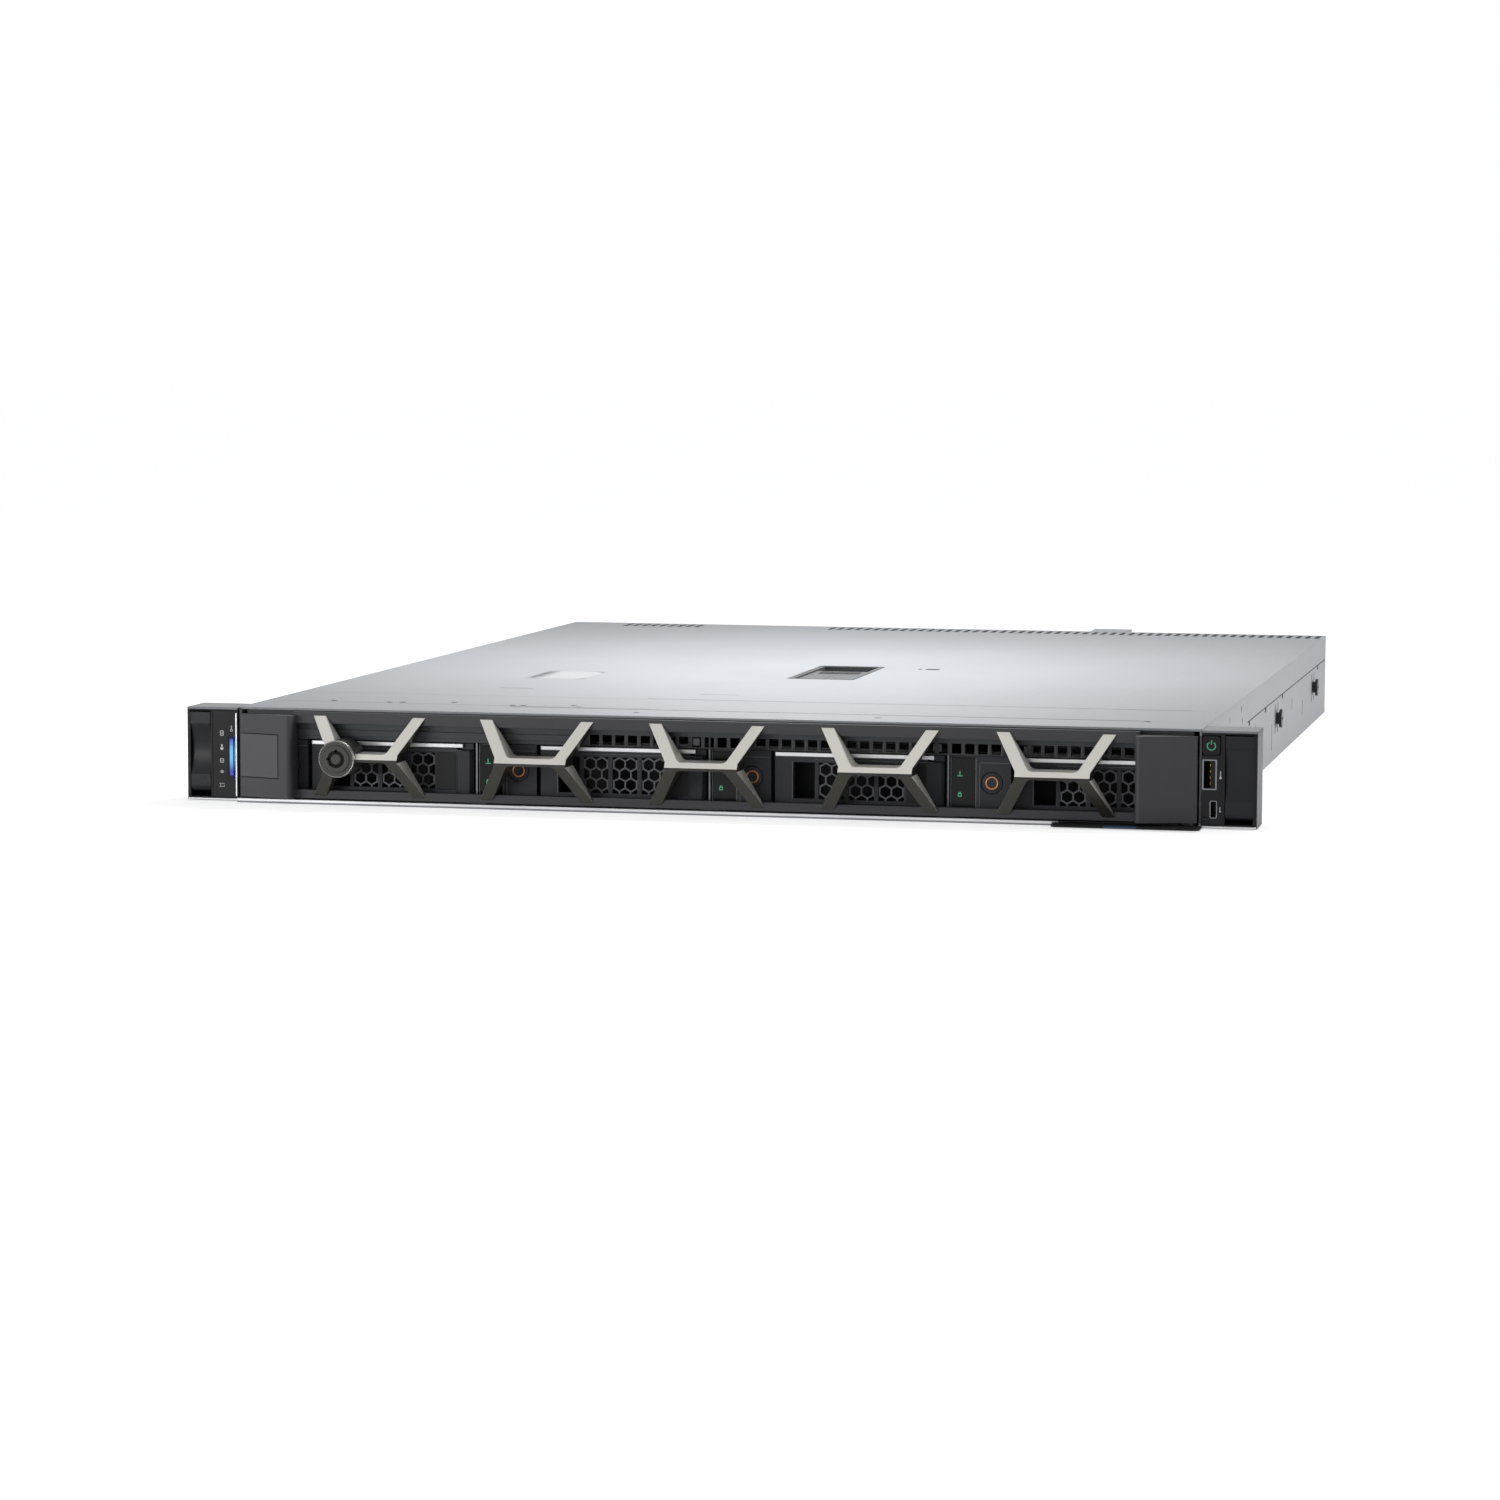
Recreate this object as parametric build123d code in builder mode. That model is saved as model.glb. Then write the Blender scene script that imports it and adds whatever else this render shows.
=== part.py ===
from build123d import *
import os
from math import cos, radians, sin, sqrt

# A rack server one unit high: sheet-metal chassis, lift-off cover, V-ribbed front bezel, four
# drive carriers with perforated handles, and the boards, fans and power supply inside.
# Millimetres. X to the right seen from the front, Y to the rear, Z up. Y = 0 is the rear face of
# the rack ears and Z = 0 is the underside that rests on a shelf.

os.makedirs("parts", exist_ok=True)

# Overall sizes
body_width = 434.0
body_height = 42.8
body_depth = 563.0
ear_width = 24.0
ear_depth = 22.0
bezel_reach = 35.8

# Sheet thicknesses and clearances
tray_sheet = 1.0
cover_sheet = 1.0
cage_sheet = 0.8
air = 0.3
turning_air = 0.05

# Tray and cover
hem_front = 24.0
hem_depth = 4.0
hem_height = 2.0
wall_front = 20.0
cover_front = 65.0
flange_front = 160.0
flange_drop = 12.8
seam_gap = 0.3

# Rows of slots near the rear edge of the cover
cover_slot_width = 2.6
cover_slot_length = 8.0
cover_slot_pitch = 5.2
cover_slot_margin = 3.0
left_slot_count = 9
left_slot_inset = 56.3
right_slot_start = -64.4
right_slot_margin = 0.5

# Pressed recess on the cover
dimple_x = -121.5
dimple_y = 190.0
dimple_width = 29.0
dimple_length = 46.0
dimple_depth = 0.5

# Drive bays
carrier_front = 18.0
cage_back = 148.0
runner_width = 4.0
runner_height = 1.3
header_sheet = 1.0
header_slot_pitch = 5.8
header_slot_width = 4.2
header_slot_sill = 0.6
header_slot_height = 4.4
header_slot_start = -55.0
header_slot_margin = 2.9
blank_bar_sill = 1.7
blank_bar_height = 2.7
blank_bar_depth = 0.8

# Drive: a 3.5 inch disk
disk_width = 101.6
disk_length = 147.0
disk_height = 26.1
disk_front = -1.0
lid_inset = 3.0
lid_height = 1.2
lid_corner = 8.0

# Carrier, with X measured from its left edge
rail_thickness = 1.75
rail_height = 20.0
face_back = 8.0
led_block_width = 12.0
led_block_step = 1.0
face_width = 27.0
frame_front = 12.2
frame_depth = 3.0
window_left = 30.0
window_right_inset = 9.1
window_sill = 3.4
button_x = 18.5
button_z = 17.0
button_recess_radius = 4.9
button_length = 4.3
button_inset = 0.4
button_facets = 24
button_travel = 1.5

# Carrier handle, with X measured from the carrier's left edge
handle_left = 28.7
handle_depth = 5.0
handle_bottom = 3.2
handle_top = 28.5
grip_window_left = 37.0
grip_window_width = 9.6
grille_left = 48.4
grille_bay_width = 11.3
grille_rib = 2.0
grille_bottom = 8.0
grille_height = 16.0
grille_skin = 1.6
cell_pitch = 5.2
cell_web = 0.5
handle_right_inset = 8.3
pivot_inset = 3.8
pivot_depth = 15.2
pivot_radius = 2.7
pivot_pin_radius = 1.25
lug_height = 2.7
lug_nose = 1.8
knuckle_corner = 1.6

# Bezel
bezel_gap = 1.6
bezel_bottom = 2.7
bezel_top_gap = 1.3
bezel_back = 20.3
rail_front = 23.8
top_rail_height = 5.0
bottom_rail_height = 3.8
rib_pitch = 77.3
ridge_bottom = 20.7
ridge_band = 3.5
rib_waist = 16.3
rib_spread = 26.0
rib_arm = 5.7
rib_fillet = 3.0
rib_end = 1.5
rib_back = 22.3
ridge_flat = 1.2
cap_width = 26.0
cap_reach = 30.4
cap_edge_reach = 23.6
cap_round = 2.0
cap_wall = 2.2
cap_drop = 1.5
catch_bottom = 11.8
catch_top_gap = 8.8
catch_width = 19.3
catch_back = 22.4
catch_travel = 0.8

# Bezel lock
lock_offset = 11.2
lock_z = 22.0
lock_ring_radius = 8.25
lock_plug_radius = 6.0
lock_ring_reach = 37.4
lock_plug_reach = 37.9
keyway_outer = 3.5
keyway_inner = 2.3
keyway_depth = 6.0
keyway_facets = 20

# Ears, latches and control panels
ear_bottom = 0.5
ear_top_gap = 0.3
ear_wall = 1.2
ear_flange = 2.0
left_panel_width = 12.0
right_panel_width = 9.4
panel_gap = 0.1
split_wall = 0.8
split_depth = 6.5
panel_thickness = 2.0
latch_top_gap = 2.2
latch_lip_height = 5.3
latch_thickness = 5.0
latch_scoop = 2.0
latch_pivot_depth = 19.0
latch_pivot_z = 7.0
latch_pivot_radius = 3.0
latch_pin_radius = 1.0
screw_offset = 15.55
screw_head_radius = 4.2
screw_head_length = 12.0
screw_head_flutes = 12
screw_radius = 2.9
screw_neck_radius = 2.4
screw_neck_end = 1.0
screw_reach = 9.0
screw_hole_radius = 3.3
bar_offset = 3.1
bar_z = 20.15
bar_width = 2.4
bar_height = 17.7
bar_corner = 0.6
power_offset = 4.3
power_top_gap = 6.3
power_width = 7.5
power_height = 8.0
power_corner = 0.9
button_proud = 0.4
button_rim = 0.5
button_rim_depth = 1.0
usb_offset = 3.6
usb_z = 23.6
usb_width = 5.7
usb_height = 12.6
usb_depth = 13.0
usb_wall = 0.5
usb_tongue = 2.0
socket_proud = 0.2
micro_offset = 5.4
micro_z = 8.65
micro_width = 2.9
micro_height = 7.4
micro_depth = 6.0
micro_wall = 0.4

# Slide-out information tag
tag_left_inset = 55.0
tag_right_inset = 7.0
tag_thickness = 0.9
tag_length = 80.0
tag_grip_inset = 59.0
tag_grip_reach = 4.9
tag_grip_depth = 11.0
tag_grip_corner = 1.5
tag_skin = 0.5
tag_air = 0.15
tag_wall = 1.6

# Cover latch
latch_plate_left = -12.0
latch_plate_right = 21.0
latch_plate_front = 197.0
latch_plate_back = 279.0
latch_well_depth = 6.3
latch_plate_wall = 2.6
lever_thickness = 2.0
lever_inset = 0.8
lever_back = 256.0
lever_pivot_y = 205.0
lever_pivot_radius = 2.0
lever_pin_radius = 1.0

# Fans
fan_clearance = 0.4
fan_length = 28.0
fan_front = 165.0
fan_count = 4
fan_pitch = 46.0
fan_centre_x = 36.0
fan_frame_wall = 1.2
fan_hub_radius = 9.0
fan_blade_air = 1.6
fan_bore_facets = 20
fan_hub_facets = 12
fan_blade_count = 5
fan_blade_thickness = 1.4
fan_blade_pitch = 38.0
fan_rotor_length = 18.0
fan_stator_length = 3.0
fan_strut = 2.4
fan_blade_inset = 1.5
fan_root = 1.0

# Boards and what stands on them
board_thickness = 1.6
backplane_front = 150.0
backplane_inset = 7.0
backplane_top_gap = 5.8
socket_block_width = 32.0
socket_block_height = 8.0
socket_block_lift = 2.0
board_psu_gap = 13.0
board_side_gap = 7.0
board_front = 235.0
board_back_gap = 11.0
standoff_height = 6.0
standoff_radius = 3.2
standoff_inset = 12.0
standoff_back_inset = 40.0
cpu_x = 45.0
cpu_y = 340.0
cpu_size = 45.0
cpu_height = 5.4
sink_width = 90.0
sink_length = 100.0
sink_base = 4.0
sink_air = 1.7
fin_count = 16
fin_thickness = 1.0
shroud_wall = 1.5
shroud_air = 3.0
shroud_front = 284.0
shroud_back = 400.0
shroud_top_gap = 0.6
dimm_length = 133.4
dimm_socket_length = 142.0
dimm_socket_width = 6.5
dimm_socket_height = 8.0
dimm_top_gap = 1.2
dimm_thickness = 1.3
dimm_pitch = 10.0
dimm_offset = 60.0
dimm_seat = 2.0

# Power supply
psu_side_gap = 4.0
psu_width = 80.0
psu_length = 228.0
psu_top_gap = 1.8
psu_fan_offset = 59.5
psu_fan_wall = 2.5
psu_fan_depth = 24.0
inlet_offset = 20.0
inlet_width = 27.0
inlet_height = 19.8
inlet_depth = 20.0
inlet_flange = 1.6
inlet_wall = 1.8
inlet_floor = 3.0
inlet_pin_size = (2.0, 4.0)
inlet_pin_inset = 4.0
inlet_pin_places = ((-7.0, -2.0), (0.0, 2.0), (7.0, -2.0))

# Rear wall: ports, expansion slots and vents
jack_width = 16.0
jack_height = 13.5
jack_depth = 21.0
jack_mouth = (11.8, 7.6, 12.0)
jack_mouth_sill = 2.4
jack_offsets = (12.0, 30.0, 52.0)
usb_stack_offset = 72.0
usb_stack_width = 14.5
usb_stack_height = 15.6
usb_stack_depth = 17.0
usb_stack_wall = 1.0
usb_stack_levels = (1.2, 8.4)
usb_mouth_height = 5.6
usb_tongue_sill = 1.8
usb_tongue_height = 2.0
usb_tongue_inset = 0.8
vga_offset = 100.0
vga_width = 30.8
vga_height = 12.5
vga_depth = 10.0
port_mouth_depth = 8.0
slot_row_gap = 5.0
slot_port_gap = 3.0
slot_cover_length = 80.0
slot_cover_gap = 3.6
slot_cover_bottom = 9.0
slot_cover_pitch = 85.0
slot_lap = 3.0
vent_drop = 10.8
vent_height = 7.0
vent_width = 8.0
vent_pitch = 12.4
riser_gap = 3.0
riser_back_gap = 53.0
riser_length = 90.0
riser_top_gap = 3.2
tab_left = 84.0
tab_right = 105.0
tab_reach = 22.0
tab_drop = 14.0
tab_sheet = 1.2

# Shoulder studs that hang the chassis on its slide rails
stud_spacing = 193.0
stud_back_inset = 75.0
stud_z = 20.0
stud_shank_radius = 3.0
stud_shank_length = 1.6
stud_head_radius = 4.6
stud_head_length = 1.4
stud_facets = 12

# Places worked out from the sizes above
half_width = body_width / 2
bezel_width = body_width - 2 * bezel_gap
half_bezel = bezel_width / 2
half_span = half_width + ear_width
top_under = body_height - cover_sheet
joggle_x = half_width - cover_sheet - seam_gap
carrier_width = disk_width + 2 * rail_thickness
bay_width = carrier_width + 2 * air
bay_pitch = bay_width + cage_sheet
bay_count = int((body_width - 2 * tray_sheet - cage_sheet) / bay_pitch)
bays_right = bay_count / 2 * bay_pitch
window_right = carrier_width - window_right_inset
handle_full_right = carrier_width - handle_right_inset
pivot_x = carrier_width - pivot_inset
grille_bays = int((handle_full_right - grille_left) / (grille_bay_width + grille_rib))
carrier_bottom = tray_sheet + runner_height + air
carrier_top = carrier_bottom + disk_height
header_bottom = carrier_top + air
header_slot_bottom = header_bottom + header_slot_sill
blank_bar_bottom = header_bottom + blank_bar_sill
disk_back = disk_front + disk_length
flange_bottom = body_height - flange_drop
bay_centres = [(i - (bay_count - 1) / 2) * bay_pitch for i in range(bay_count)]
rib_room = bezel_width - 2 * cap_width - 2 * rib_spread
rib_count = 1 + int(rib_room / rib_pitch)
rib_centres = [(i - (rib_count - 1) / 2) * rib_pitch for i in range(rib_count)]
fan_centres = [fan_centre_x + (i - (fan_count - 1) / 2) * fan_pitch for i in range(fan_count)]
lock_x = rib_centres[0] - lock_offset
ear_top = body_height - ear_top_gap
latch_top = ear_top - latch_top_gap
latch_lip = latch_top - latch_lip_height
screw_z = body_height / 2
power_z = ear_top - power_top_gap
bezel_top = body_height - bezel_top_gap
left_split = half_width + left_panel_width
right_split = half_width + right_panel_width
screw_x = half_width + screw_offset
bar_x = -half_width - bar_offset
power_x = half_width + power_offset
usb_x = half_width + usb_offset
micro_x = half_width + micro_offset
tag_left = bays_right - tag_left_inset
tag_right = bays_right - tag_right_inset
tag_grip_left = bays_right - tag_grip_inset
tag_grip_right = bays_right + tag_grip_reach
left_slot_centre = left_slot_inset - half_width
right_slot_room = half_width - right_slot_margin - right_slot_start
right_slot_count = int(right_slot_room / cover_slot_pitch)
right_slot_centre = right_slot_start + right_slot_count * cover_slot_pitch / 2
psu_left = psu_side_gap - half_width
psu_front = body_depth - psu_length
psu_height = top_under - tray_sheet - psu_top_gap
psu_fan_bore = psu_height / 2 - psu_fan_wall
fan_size = top_under - tray_sheet - 2 * fan_clearance
fan_bore = fan_size / 2 - fan_frame_wall
backplane_height = top_under - tray_sheet - backplane_top_gap
psu_fan_x = psu_left + psu_fan_offset
inlet_x = psu_left + inlet_offset
backplane_width = bay_count * bay_pitch - 2 * backplane_inset
board_left = psu_left + psu_width + board_psu_gap
board_right = half_width - board_side_gap
board_back = body_depth - board_back_gap
shroud_top = top_under - shroud_top_gap
jack_positions = [board_left + offset for offset in jack_offsets]
usb_stack_x = board_left + usb_stack_offset
vga_x = board_left + vga_offset
slot_row_right = half_width - slot_row_gap
slot_room = slot_row_right - vga_x - vga_width / 2 - slot_port_gap
slot_count = int(slot_room / slot_cover_pitch)
slot_left = slot_row_right - slot_count * slot_cover_pitch
vent_count = int(slot_count * slot_cover_pitch / vent_pitch)
riser_x = slot_left + (slot_count - 1) * slot_cover_pitch - riser_gap
riser_front = body_depth - riser_back_gap - riser_length
stud_positions = (body_depth - stud_back_inset - stud_spacing, body_depth - stud_back_inset)
board_bottom = tray_sheet + standoff_height
board_top = board_bottom + board_thickness
dimm_height = top_under - dimm_top_gap - board_top - dimm_seat
riser_height = top_under - riser_top_gap - board_top
sink_height = shroud_top - shroud_wall - sink_air - board_top - cpu_height
vent_bottom = top_under - vent_drop
slot_cover_height = vent_bottom - slot_cover_gap - slot_cover_bottom
psu_right = psu_left + psu_width
psu_top = tray_sheet + psu_height
rear_inside = body_depth - tray_sheet


def span(low, high):
    """Middle and length of a stretch."""
    return (low + high) / 2, high - low


def block(x, y, z, mode=Mode.ADD):
    """Add or cut a block that spans the given (low, high) pairs."""
    mid_x, size_x = span(*x)
    mid_y, size_y = span(*y)
    mid_z, size_z = span(*z)
    with Locations((mid_x, mid_y, mid_z)):
        Box(size_x, size_y, size_z, mode=mode)


def rod_y(x, z, radius, y, mode=Mode.ADD):
    """Add or cut a round bar along Y."""
    mid_y, length = span(*y)
    with Locations((x, mid_y, z)):
        Cylinder(radius, length, rotation=(90, 0, 0), mode=mode)


def facet_y(x, z, radius, y, sides, mode=Mode.ADD):
    """Add or cut a many-sided bar along Y, for round forms that repeat often."""
    with BuildSketch(front_plane(y[1])) as outline:
        with Locations((x, z)):
            RegularPolygon(radius, sides)
    extrude(outline.sketch, amount=y[1] - y[0], mode=mode)


def rod_x(y, z, radius, x, mode=Mode.ADD):
    """Add or cut a round bar along X."""
    mid_x, length = span(*x)
    with Locations((mid_x, y, z)):
        Cylinder(radius, length, rotation=(0, 90, 0), mode=mode)


def rod_z(x, y, radius, z, mode=Mode.ADD):
    """Add or cut a round bar along Z."""
    mid_z, length = span(*z)
    with Locations((x, y, mid_z)):
        Cylinder(radius, length, mode=mode)


def front_plane(y):
    """Plane that faces the front at depth y, with the sketch's X to the right and Y up."""
    return Plane(origin=(0, y, 0), x_dir=(1, 0, 0), z_dir=(0, -1, 0))


def side_plane(x):
    """Plane that faces +X, with the sketch's X to the rear and Y up."""
    return Plane(origin=(x, 0, 0), x_dir=(0, 1, 0), z_dir=(1, 0, 0))


def save(builder, name):
    """Label a finished piece and write it."""
    builder.part.label = name
    export_step(builder.part, f"parts/{name}.step")


# Chassis tray: floor with a front hem, walls joggled inwards under the cover's flanges, rear wall
holder_left = tag_left - tag_air - tag_wall
holder_right = tag_right + tag_air + tag_wall
holder_front = -hem_front + air
holder_back = holder_front + tag_length - tag_wall
port_bottom = board_top
with BuildPart() as chassis_tray:
    with BuildSketch(Plane.XY):
        with Locations((0, -hem_front)):
            Rectangle(body_width, body_depth + hem_front, align=(Align.CENTER, Align.MIN))
    extrude(amount=tray_sheet)
    block((-half_width, holder_left - air), (-hem_front, hem_depth - hem_front), (0, hem_height))
    with BuildSketch(Plane.XZ.offset(wall_front)) as front_wall:
        with Locations((half_width - tray_sheet / 2, top_under / 2)):
            Rectangle(tray_sheet, top_under)
        mirror(about=Plane.YZ)
    extrude(amount=-(wall_front + flange_front - seam_gap))
    with BuildSketch(Plane.XZ.offset(seam_gap - flange_front)) as rear_walls:
        shoulder = flange_bottom - seam_gap
        with BuildLine():
            Polyline(
                (half_width, 0),
                (half_width, shoulder),
                (joggle_x, shoulder),
                (joggle_x, top_under),
                (joggle_x - tray_sheet, top_under),
                (joggle_x - tray_sheet, shoulder - tray_sheet),
                (half_width - tray_sheet, shoulder - tray_sheet),
                (half_width - tray_sheet, 0),
                close=True,
            )
        make_face()
        mirror(about=Plane.YZ)
    extrude(amount=-(body_depth - flange_front + seam_gap))
    with BuildSketch(Plane.XZ.offset(-rear_inside)) as rear_wall:
        with Locations((0, top_under / 2)):
            Rectangle(2 * joggle_x - 2 * tray_sheet, top_under)
        with Locations(((psu_left + psu_right) / 2, (tray_sheet + psu_top) / 2)):
            Rectangle(psu_width, psu_height, mode=Mode.SUBTRACT)
        with Locations([(x, port_bottom + jack_height / 2) for x in jack_positions]):
            Rectangle(jack_width, jack_height, mode=Mode.SUBTRACT)
        with Locations((usb_stack_x, port_bottom + usb_stack_height / 2)):
            Rectangle(usb_stack_width, usb_stack_height, mode=Mode.SUBTRACT)
        with Locations((vga_x, port_bottom + vga_height / 2)):
            Rectangle(vga_width, vga_height, mode=Mode.SUBTRACT)
        for i in range(slot_count):
            left = slot_left + i * slot_cover_pitch + slot_lap
            with Locations((left, slot_cover_bottom + slot_lap)):
                Rectangle(
                    slot_cover_length - 2 * slot_lap,
                    slot_cover_height - 2 * slot_lap,
                    align=(Align.MIN, Align.MIN),
                    mode=Mode.SUBTRACT,
                )
        vent_middle = slot_left + (slot_count * slot_cover_pitch) / 2
        with Locations((vent_middle, vent_bottom + vent_height / 2)):
            with GridLocations(vent_pitch, 1, vent_count, 1):
                Rectangle(vent_width, vent_height, mode=Mode.SUBTRACT)
    extrude(amount=-tray_sheet)
    block((holder_left, holder_right), (-hem_front, holder_back), (0, tray_sheet), Mode.SUBTRACT)
    block((holder_left - air, half_width), (-hem_front, holder_front), (0, hem_height), Mode.SUBTRACT)
    standoff_y = (
        board_front + standoff_inset,
        (board_front + board_back) / 2,
        board_back - standoff_back_inset,
    )
    standoff_x = (board_left + standoff_inset, board_right - standoff_inset)
    with BuildSketch(Plane.XY.offset(tray_sheet)):
        with Locations([(x, y) for x in standoff_x for y in standoff_y]):
            RegularPolygon(standoff_radius, 6)
    extrude(amount=standoff_height)
save(chassis_tray, "chassis_tray")

# Fixed top panel over the drive bays
with BuildPart() as front_top_panel:
    panel_back = cover_front - seam_gap
    block((-half_width, half_width), (-wall_front, panel_back), (top_under, body_height))
save(front_top_panel, "front_top_panel")

# Top cover: top sheet, side flanges from the seam back, slots at the rear, a well for the latch
slot_y = body_depth - cover_slot_margin - cover_slot_length / 2
with BuildPart() as top_cover:
    with BuildSketch(Plane.XY.offset(top_under)):
        with Locations((0, (cover_front + body_depth) / 2)):
            Rectangle(body_width, body_depth - cover_front)
        for middle, count in (
            (left_slot_centre, left_slot_count),
            (right_slot_centre, right_slot_count),
        ):
            with Locations((middle, slot_y)):
                with GridLocations(cover_slot_pitch, 1, count, 1):
                    Rectangle(cover_slot_width, cover_slot_length, mode=Mode.SUBTRACT)
    extrude(amount=cover_sheet)
    for side in (-1, 1):
        flange_x = sorted((side * half_width, side * (half_width - cover_sheet)))
        block(flange_x, (flange_front, body_depth), (flange_bottom, body_height))
    block(
        (latch_plate_left - air, latch_plate_right + air),
        (latch_plate_front - air, latch_plate_back + air),
        (top_under, body_height),
        Mode.SUBTRACT,
    )
    with Locations((dimple_x, dimple_y, body_height - dimple_depth / 2)):
        Box(dimple_width, dimple_length, dimple_depth, mode=Mode.SUBTRACT)
save(top_cover, "top_cover")

# Drive cage: upright sheets on runner plates, and a slotted header across their front edges
wall_places = [(i - bay_count / 2) * bay_pitch for i in range(bay_count + 1)]
cage_half = bays_right + cage_sheet / 2
runner_top = tray_sheet + runner_height
header_front = carrier_front + header_sheet
with BuildPart() as drive_cage:
    for x in wall_places:
        block(
            (x - cage_sheet / 2, x + cage_sheet / 2),
            (-carrier_front, cage_back),
            (runner_top, top_under),
        )
        low_x = max(x - cage_sheet / 2 - runner_width, -cage_half)
        high_x = min(x + cage_sheet / 2 + runner_width, cage_half)
        block((low_x, high_x), (-carrier_front, cage_back), (tray_sheet, runner_top))
    with BuildSketch(Plane.XZ.offset(header_front)):
        with Locations((0, (header_bottom + top_under) / 2)):
            Rectangle(2 * cage_half, top_under - header_bottom)
        slots_wide = int((cage_half - header_slot_margin - header_slot_start) / header_slot_pitch)
        for i in range(slots_wide):
            slot_x = header_slot_start + (i + 0.5) * header_slot_pitch
            with Locations((slot_x, header_slot_bottom + header_slot_height / 2)):
                Rectangle(header_slot_width, header_slot_height, mode=Mode.SUBTRACT)
    extrude(amount=-header_sheet)
    block(
        (-cage_half, header_slot_start - header_slot_pitch / 2),
        (-header_front - blank_bar_depth, -header_front),
        (blank_bar_bottom, blank_bar_bottom + blank_bar_height),
    )
save(drive_cage, "drive_cage")

# Rack ears: a flange with a shallow box in front, split between the controls and the latch


def build_ear(name, side, split):
    """An ear: flange with the screw hole, top, bottom and outer walls, and the dividing wall."""

    def across(inner, outer):
        return sorted((side * inner, side * outer))

    with BuildPart() as ear:
        depth = (-ear_depth, 0)
        block(across(half_width, half_span), (-ear_flange, 0), (ear_bottom, ear_top))
        block(across(half_width, half_span), depth, (ear_bottom, ear_bottom + ear_wall))
        block(across(half_width, half_span), depth, (ear_top - ear_wall, ear_top))
        block(across(half_span - ear_wall, half_span), depth, (ear_bottom, ear_top))
        split_y = (-ear_depth, split_depth - ear_depth)
        block(across(split, split + split_wall), split_y, (ear_bottom, ear_top))
        rod_y(side * screw_x, screw_z, screw_hole_radius, (-ear_flange, 0), Mode.SUBTRACT)
    save(ear, name)


build_ear("left_ear_housing", -1, left_split)
build_ear("right_ear_housing", 1, right_split)


def build_latch(name, side, split):
    """A slam latch: barrel at the foot, scooped front plate and a finger lip at the top."""
    inner = split + split_wall + air
    outer = half_span - ear_wall - air
    front = -ear_depth
    back = front + latch_thickness
    with BuildPart() as latch:
        with BuildSketch(side_plane(side * inner)):
            with BuildLine():
                foot = Line((front, latch_pivot_z), (front, latch_pivot_z + latch_pivot_radius + 2))
                scoop_mid = (front + latch_scoop, (foot.position_at(1).Y + latch_lip) / 2)
                ThreePointArc(foot @ 1, scoop_mid, (front, latch_lip))
                Polyline(
                    (front, latch_lip),
                    (front, latch_top),
                    (back, latch_top),
                    (back, latch_pivot_z),
                    (front, latch_pivot_z),
                )
            make_face()
            with Locations((-latch_pivot_depth, latch_pivot_z)):
                Circle(latch_pivot_radius)
                Circle(latch_pin_radius + turning_air, mode=Mode.SUBTRACT)
        extrude(amount=side * (outer - inner))
    save(latch, name)


build_latch("left_latch", -1, left_split)
build_latch("right_latch", 1, right_split)

with BuildPart() as latch_pins:
    for side, split in ((-1, left_split), (1, right_split)):
        pin_x = sorted((side * (split + split_wall), side * (half_span - ear_wall)))
        rod_x(-latch_pivot_depth, latch_pivot_z, latch_pin_radius, pin_x)
save(latch_pins, "latch_pins")

# Captive screws that fasten the ears to the rack posts, knurled heads behind the latches
with BuildPart() as rack_screws:
    for side in (-1, 1):
        with BuildSketch(front_plane(-ear_flange)):
            with Locations((side * screw_x, screw_z)):
                RegularPolygon(screw_head_radius, screw_head_flutes)
        extrude(amount=screw_head_length)
        rod_y(side * screw_x, screw_z, screw_neck_radius, (-ear_flange, screw_neck_end))
        rod_y(side * screw_x, screw_z, screw_radius, (screw_neck_end, screw_reach))
save(rack_screws, "rack_screws")

# Control panels that close the inner half of each ear
panel_inner = half_width + panel_gap
panel_z = (ear_bottom + ear_wall, ear_top - ear_wall)
panel_y = (-ear_depth, panel_thickness - ear_depth)
with BuildPart() as left_control_panel:
    block((-left_split, -panel_inner), panel_y, panel_z)
    block(
        (bar_x - bar_width / 2 - air, bar_x + bar_width / 2 + air),
        panel_y,
        (bar_z - bar_height / 2 - air, bar_z + bar_height / 2 + air),
        Mode.SUBTRACT,
    )
save(left_control_panel, "left_control_panel")

with BuildPart() as right_control_panel:
    block((panel_inner, right_split), panel_y, panel_z)
    for x, z, wide, tall, gap in (
        (power_x, power_z, power_width, power_height, air),
        (usb_x, usb_z, usb_width, usb_height, 0),
        (micro_x, micro_z, micro_width, micro_height, 0),
    ):
        block(
            (x - wide / 2 - gap, x + wide / 2 + gap),
            panel_y,
            (z - tall / 2 - gap, z + tall / 2 + gap),
            Mode.SUBTRACT,
        )
save(right_control_panel, "right_control_panel")


def build_panel_button(name, x, z, wide, tall, corner):
    """A button through a control panel, with a rim behind the panel that keeps it in."""
    with BuildPart() as button:
        with BuildSketch(front_plane(panel_y[1] + air)) as face:
            with Locations((x, z)):
                Rectangle(wide, tall)
            chamfer(face.vertices(), corner)
        extrude(amount=panel_thickness + air + button_proud)
        with BuildSketch(front_plane(panel_y[1] + air)):
            with Locations((x, z)):
                Rectangle(wide, tall + 2 * (air + button_rim))
        extrude(amount=-button_rim_depth)
    save(button, name)


build_panel_button("id_button", bar_x, bar_z, bar_width, bar_height, bar_corner)
build_panel_button("power_button", power_x, power_z, power_width, power_height, power_corner)

# Sockets in the right panel: metal shells, the larger one with a tongue


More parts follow.
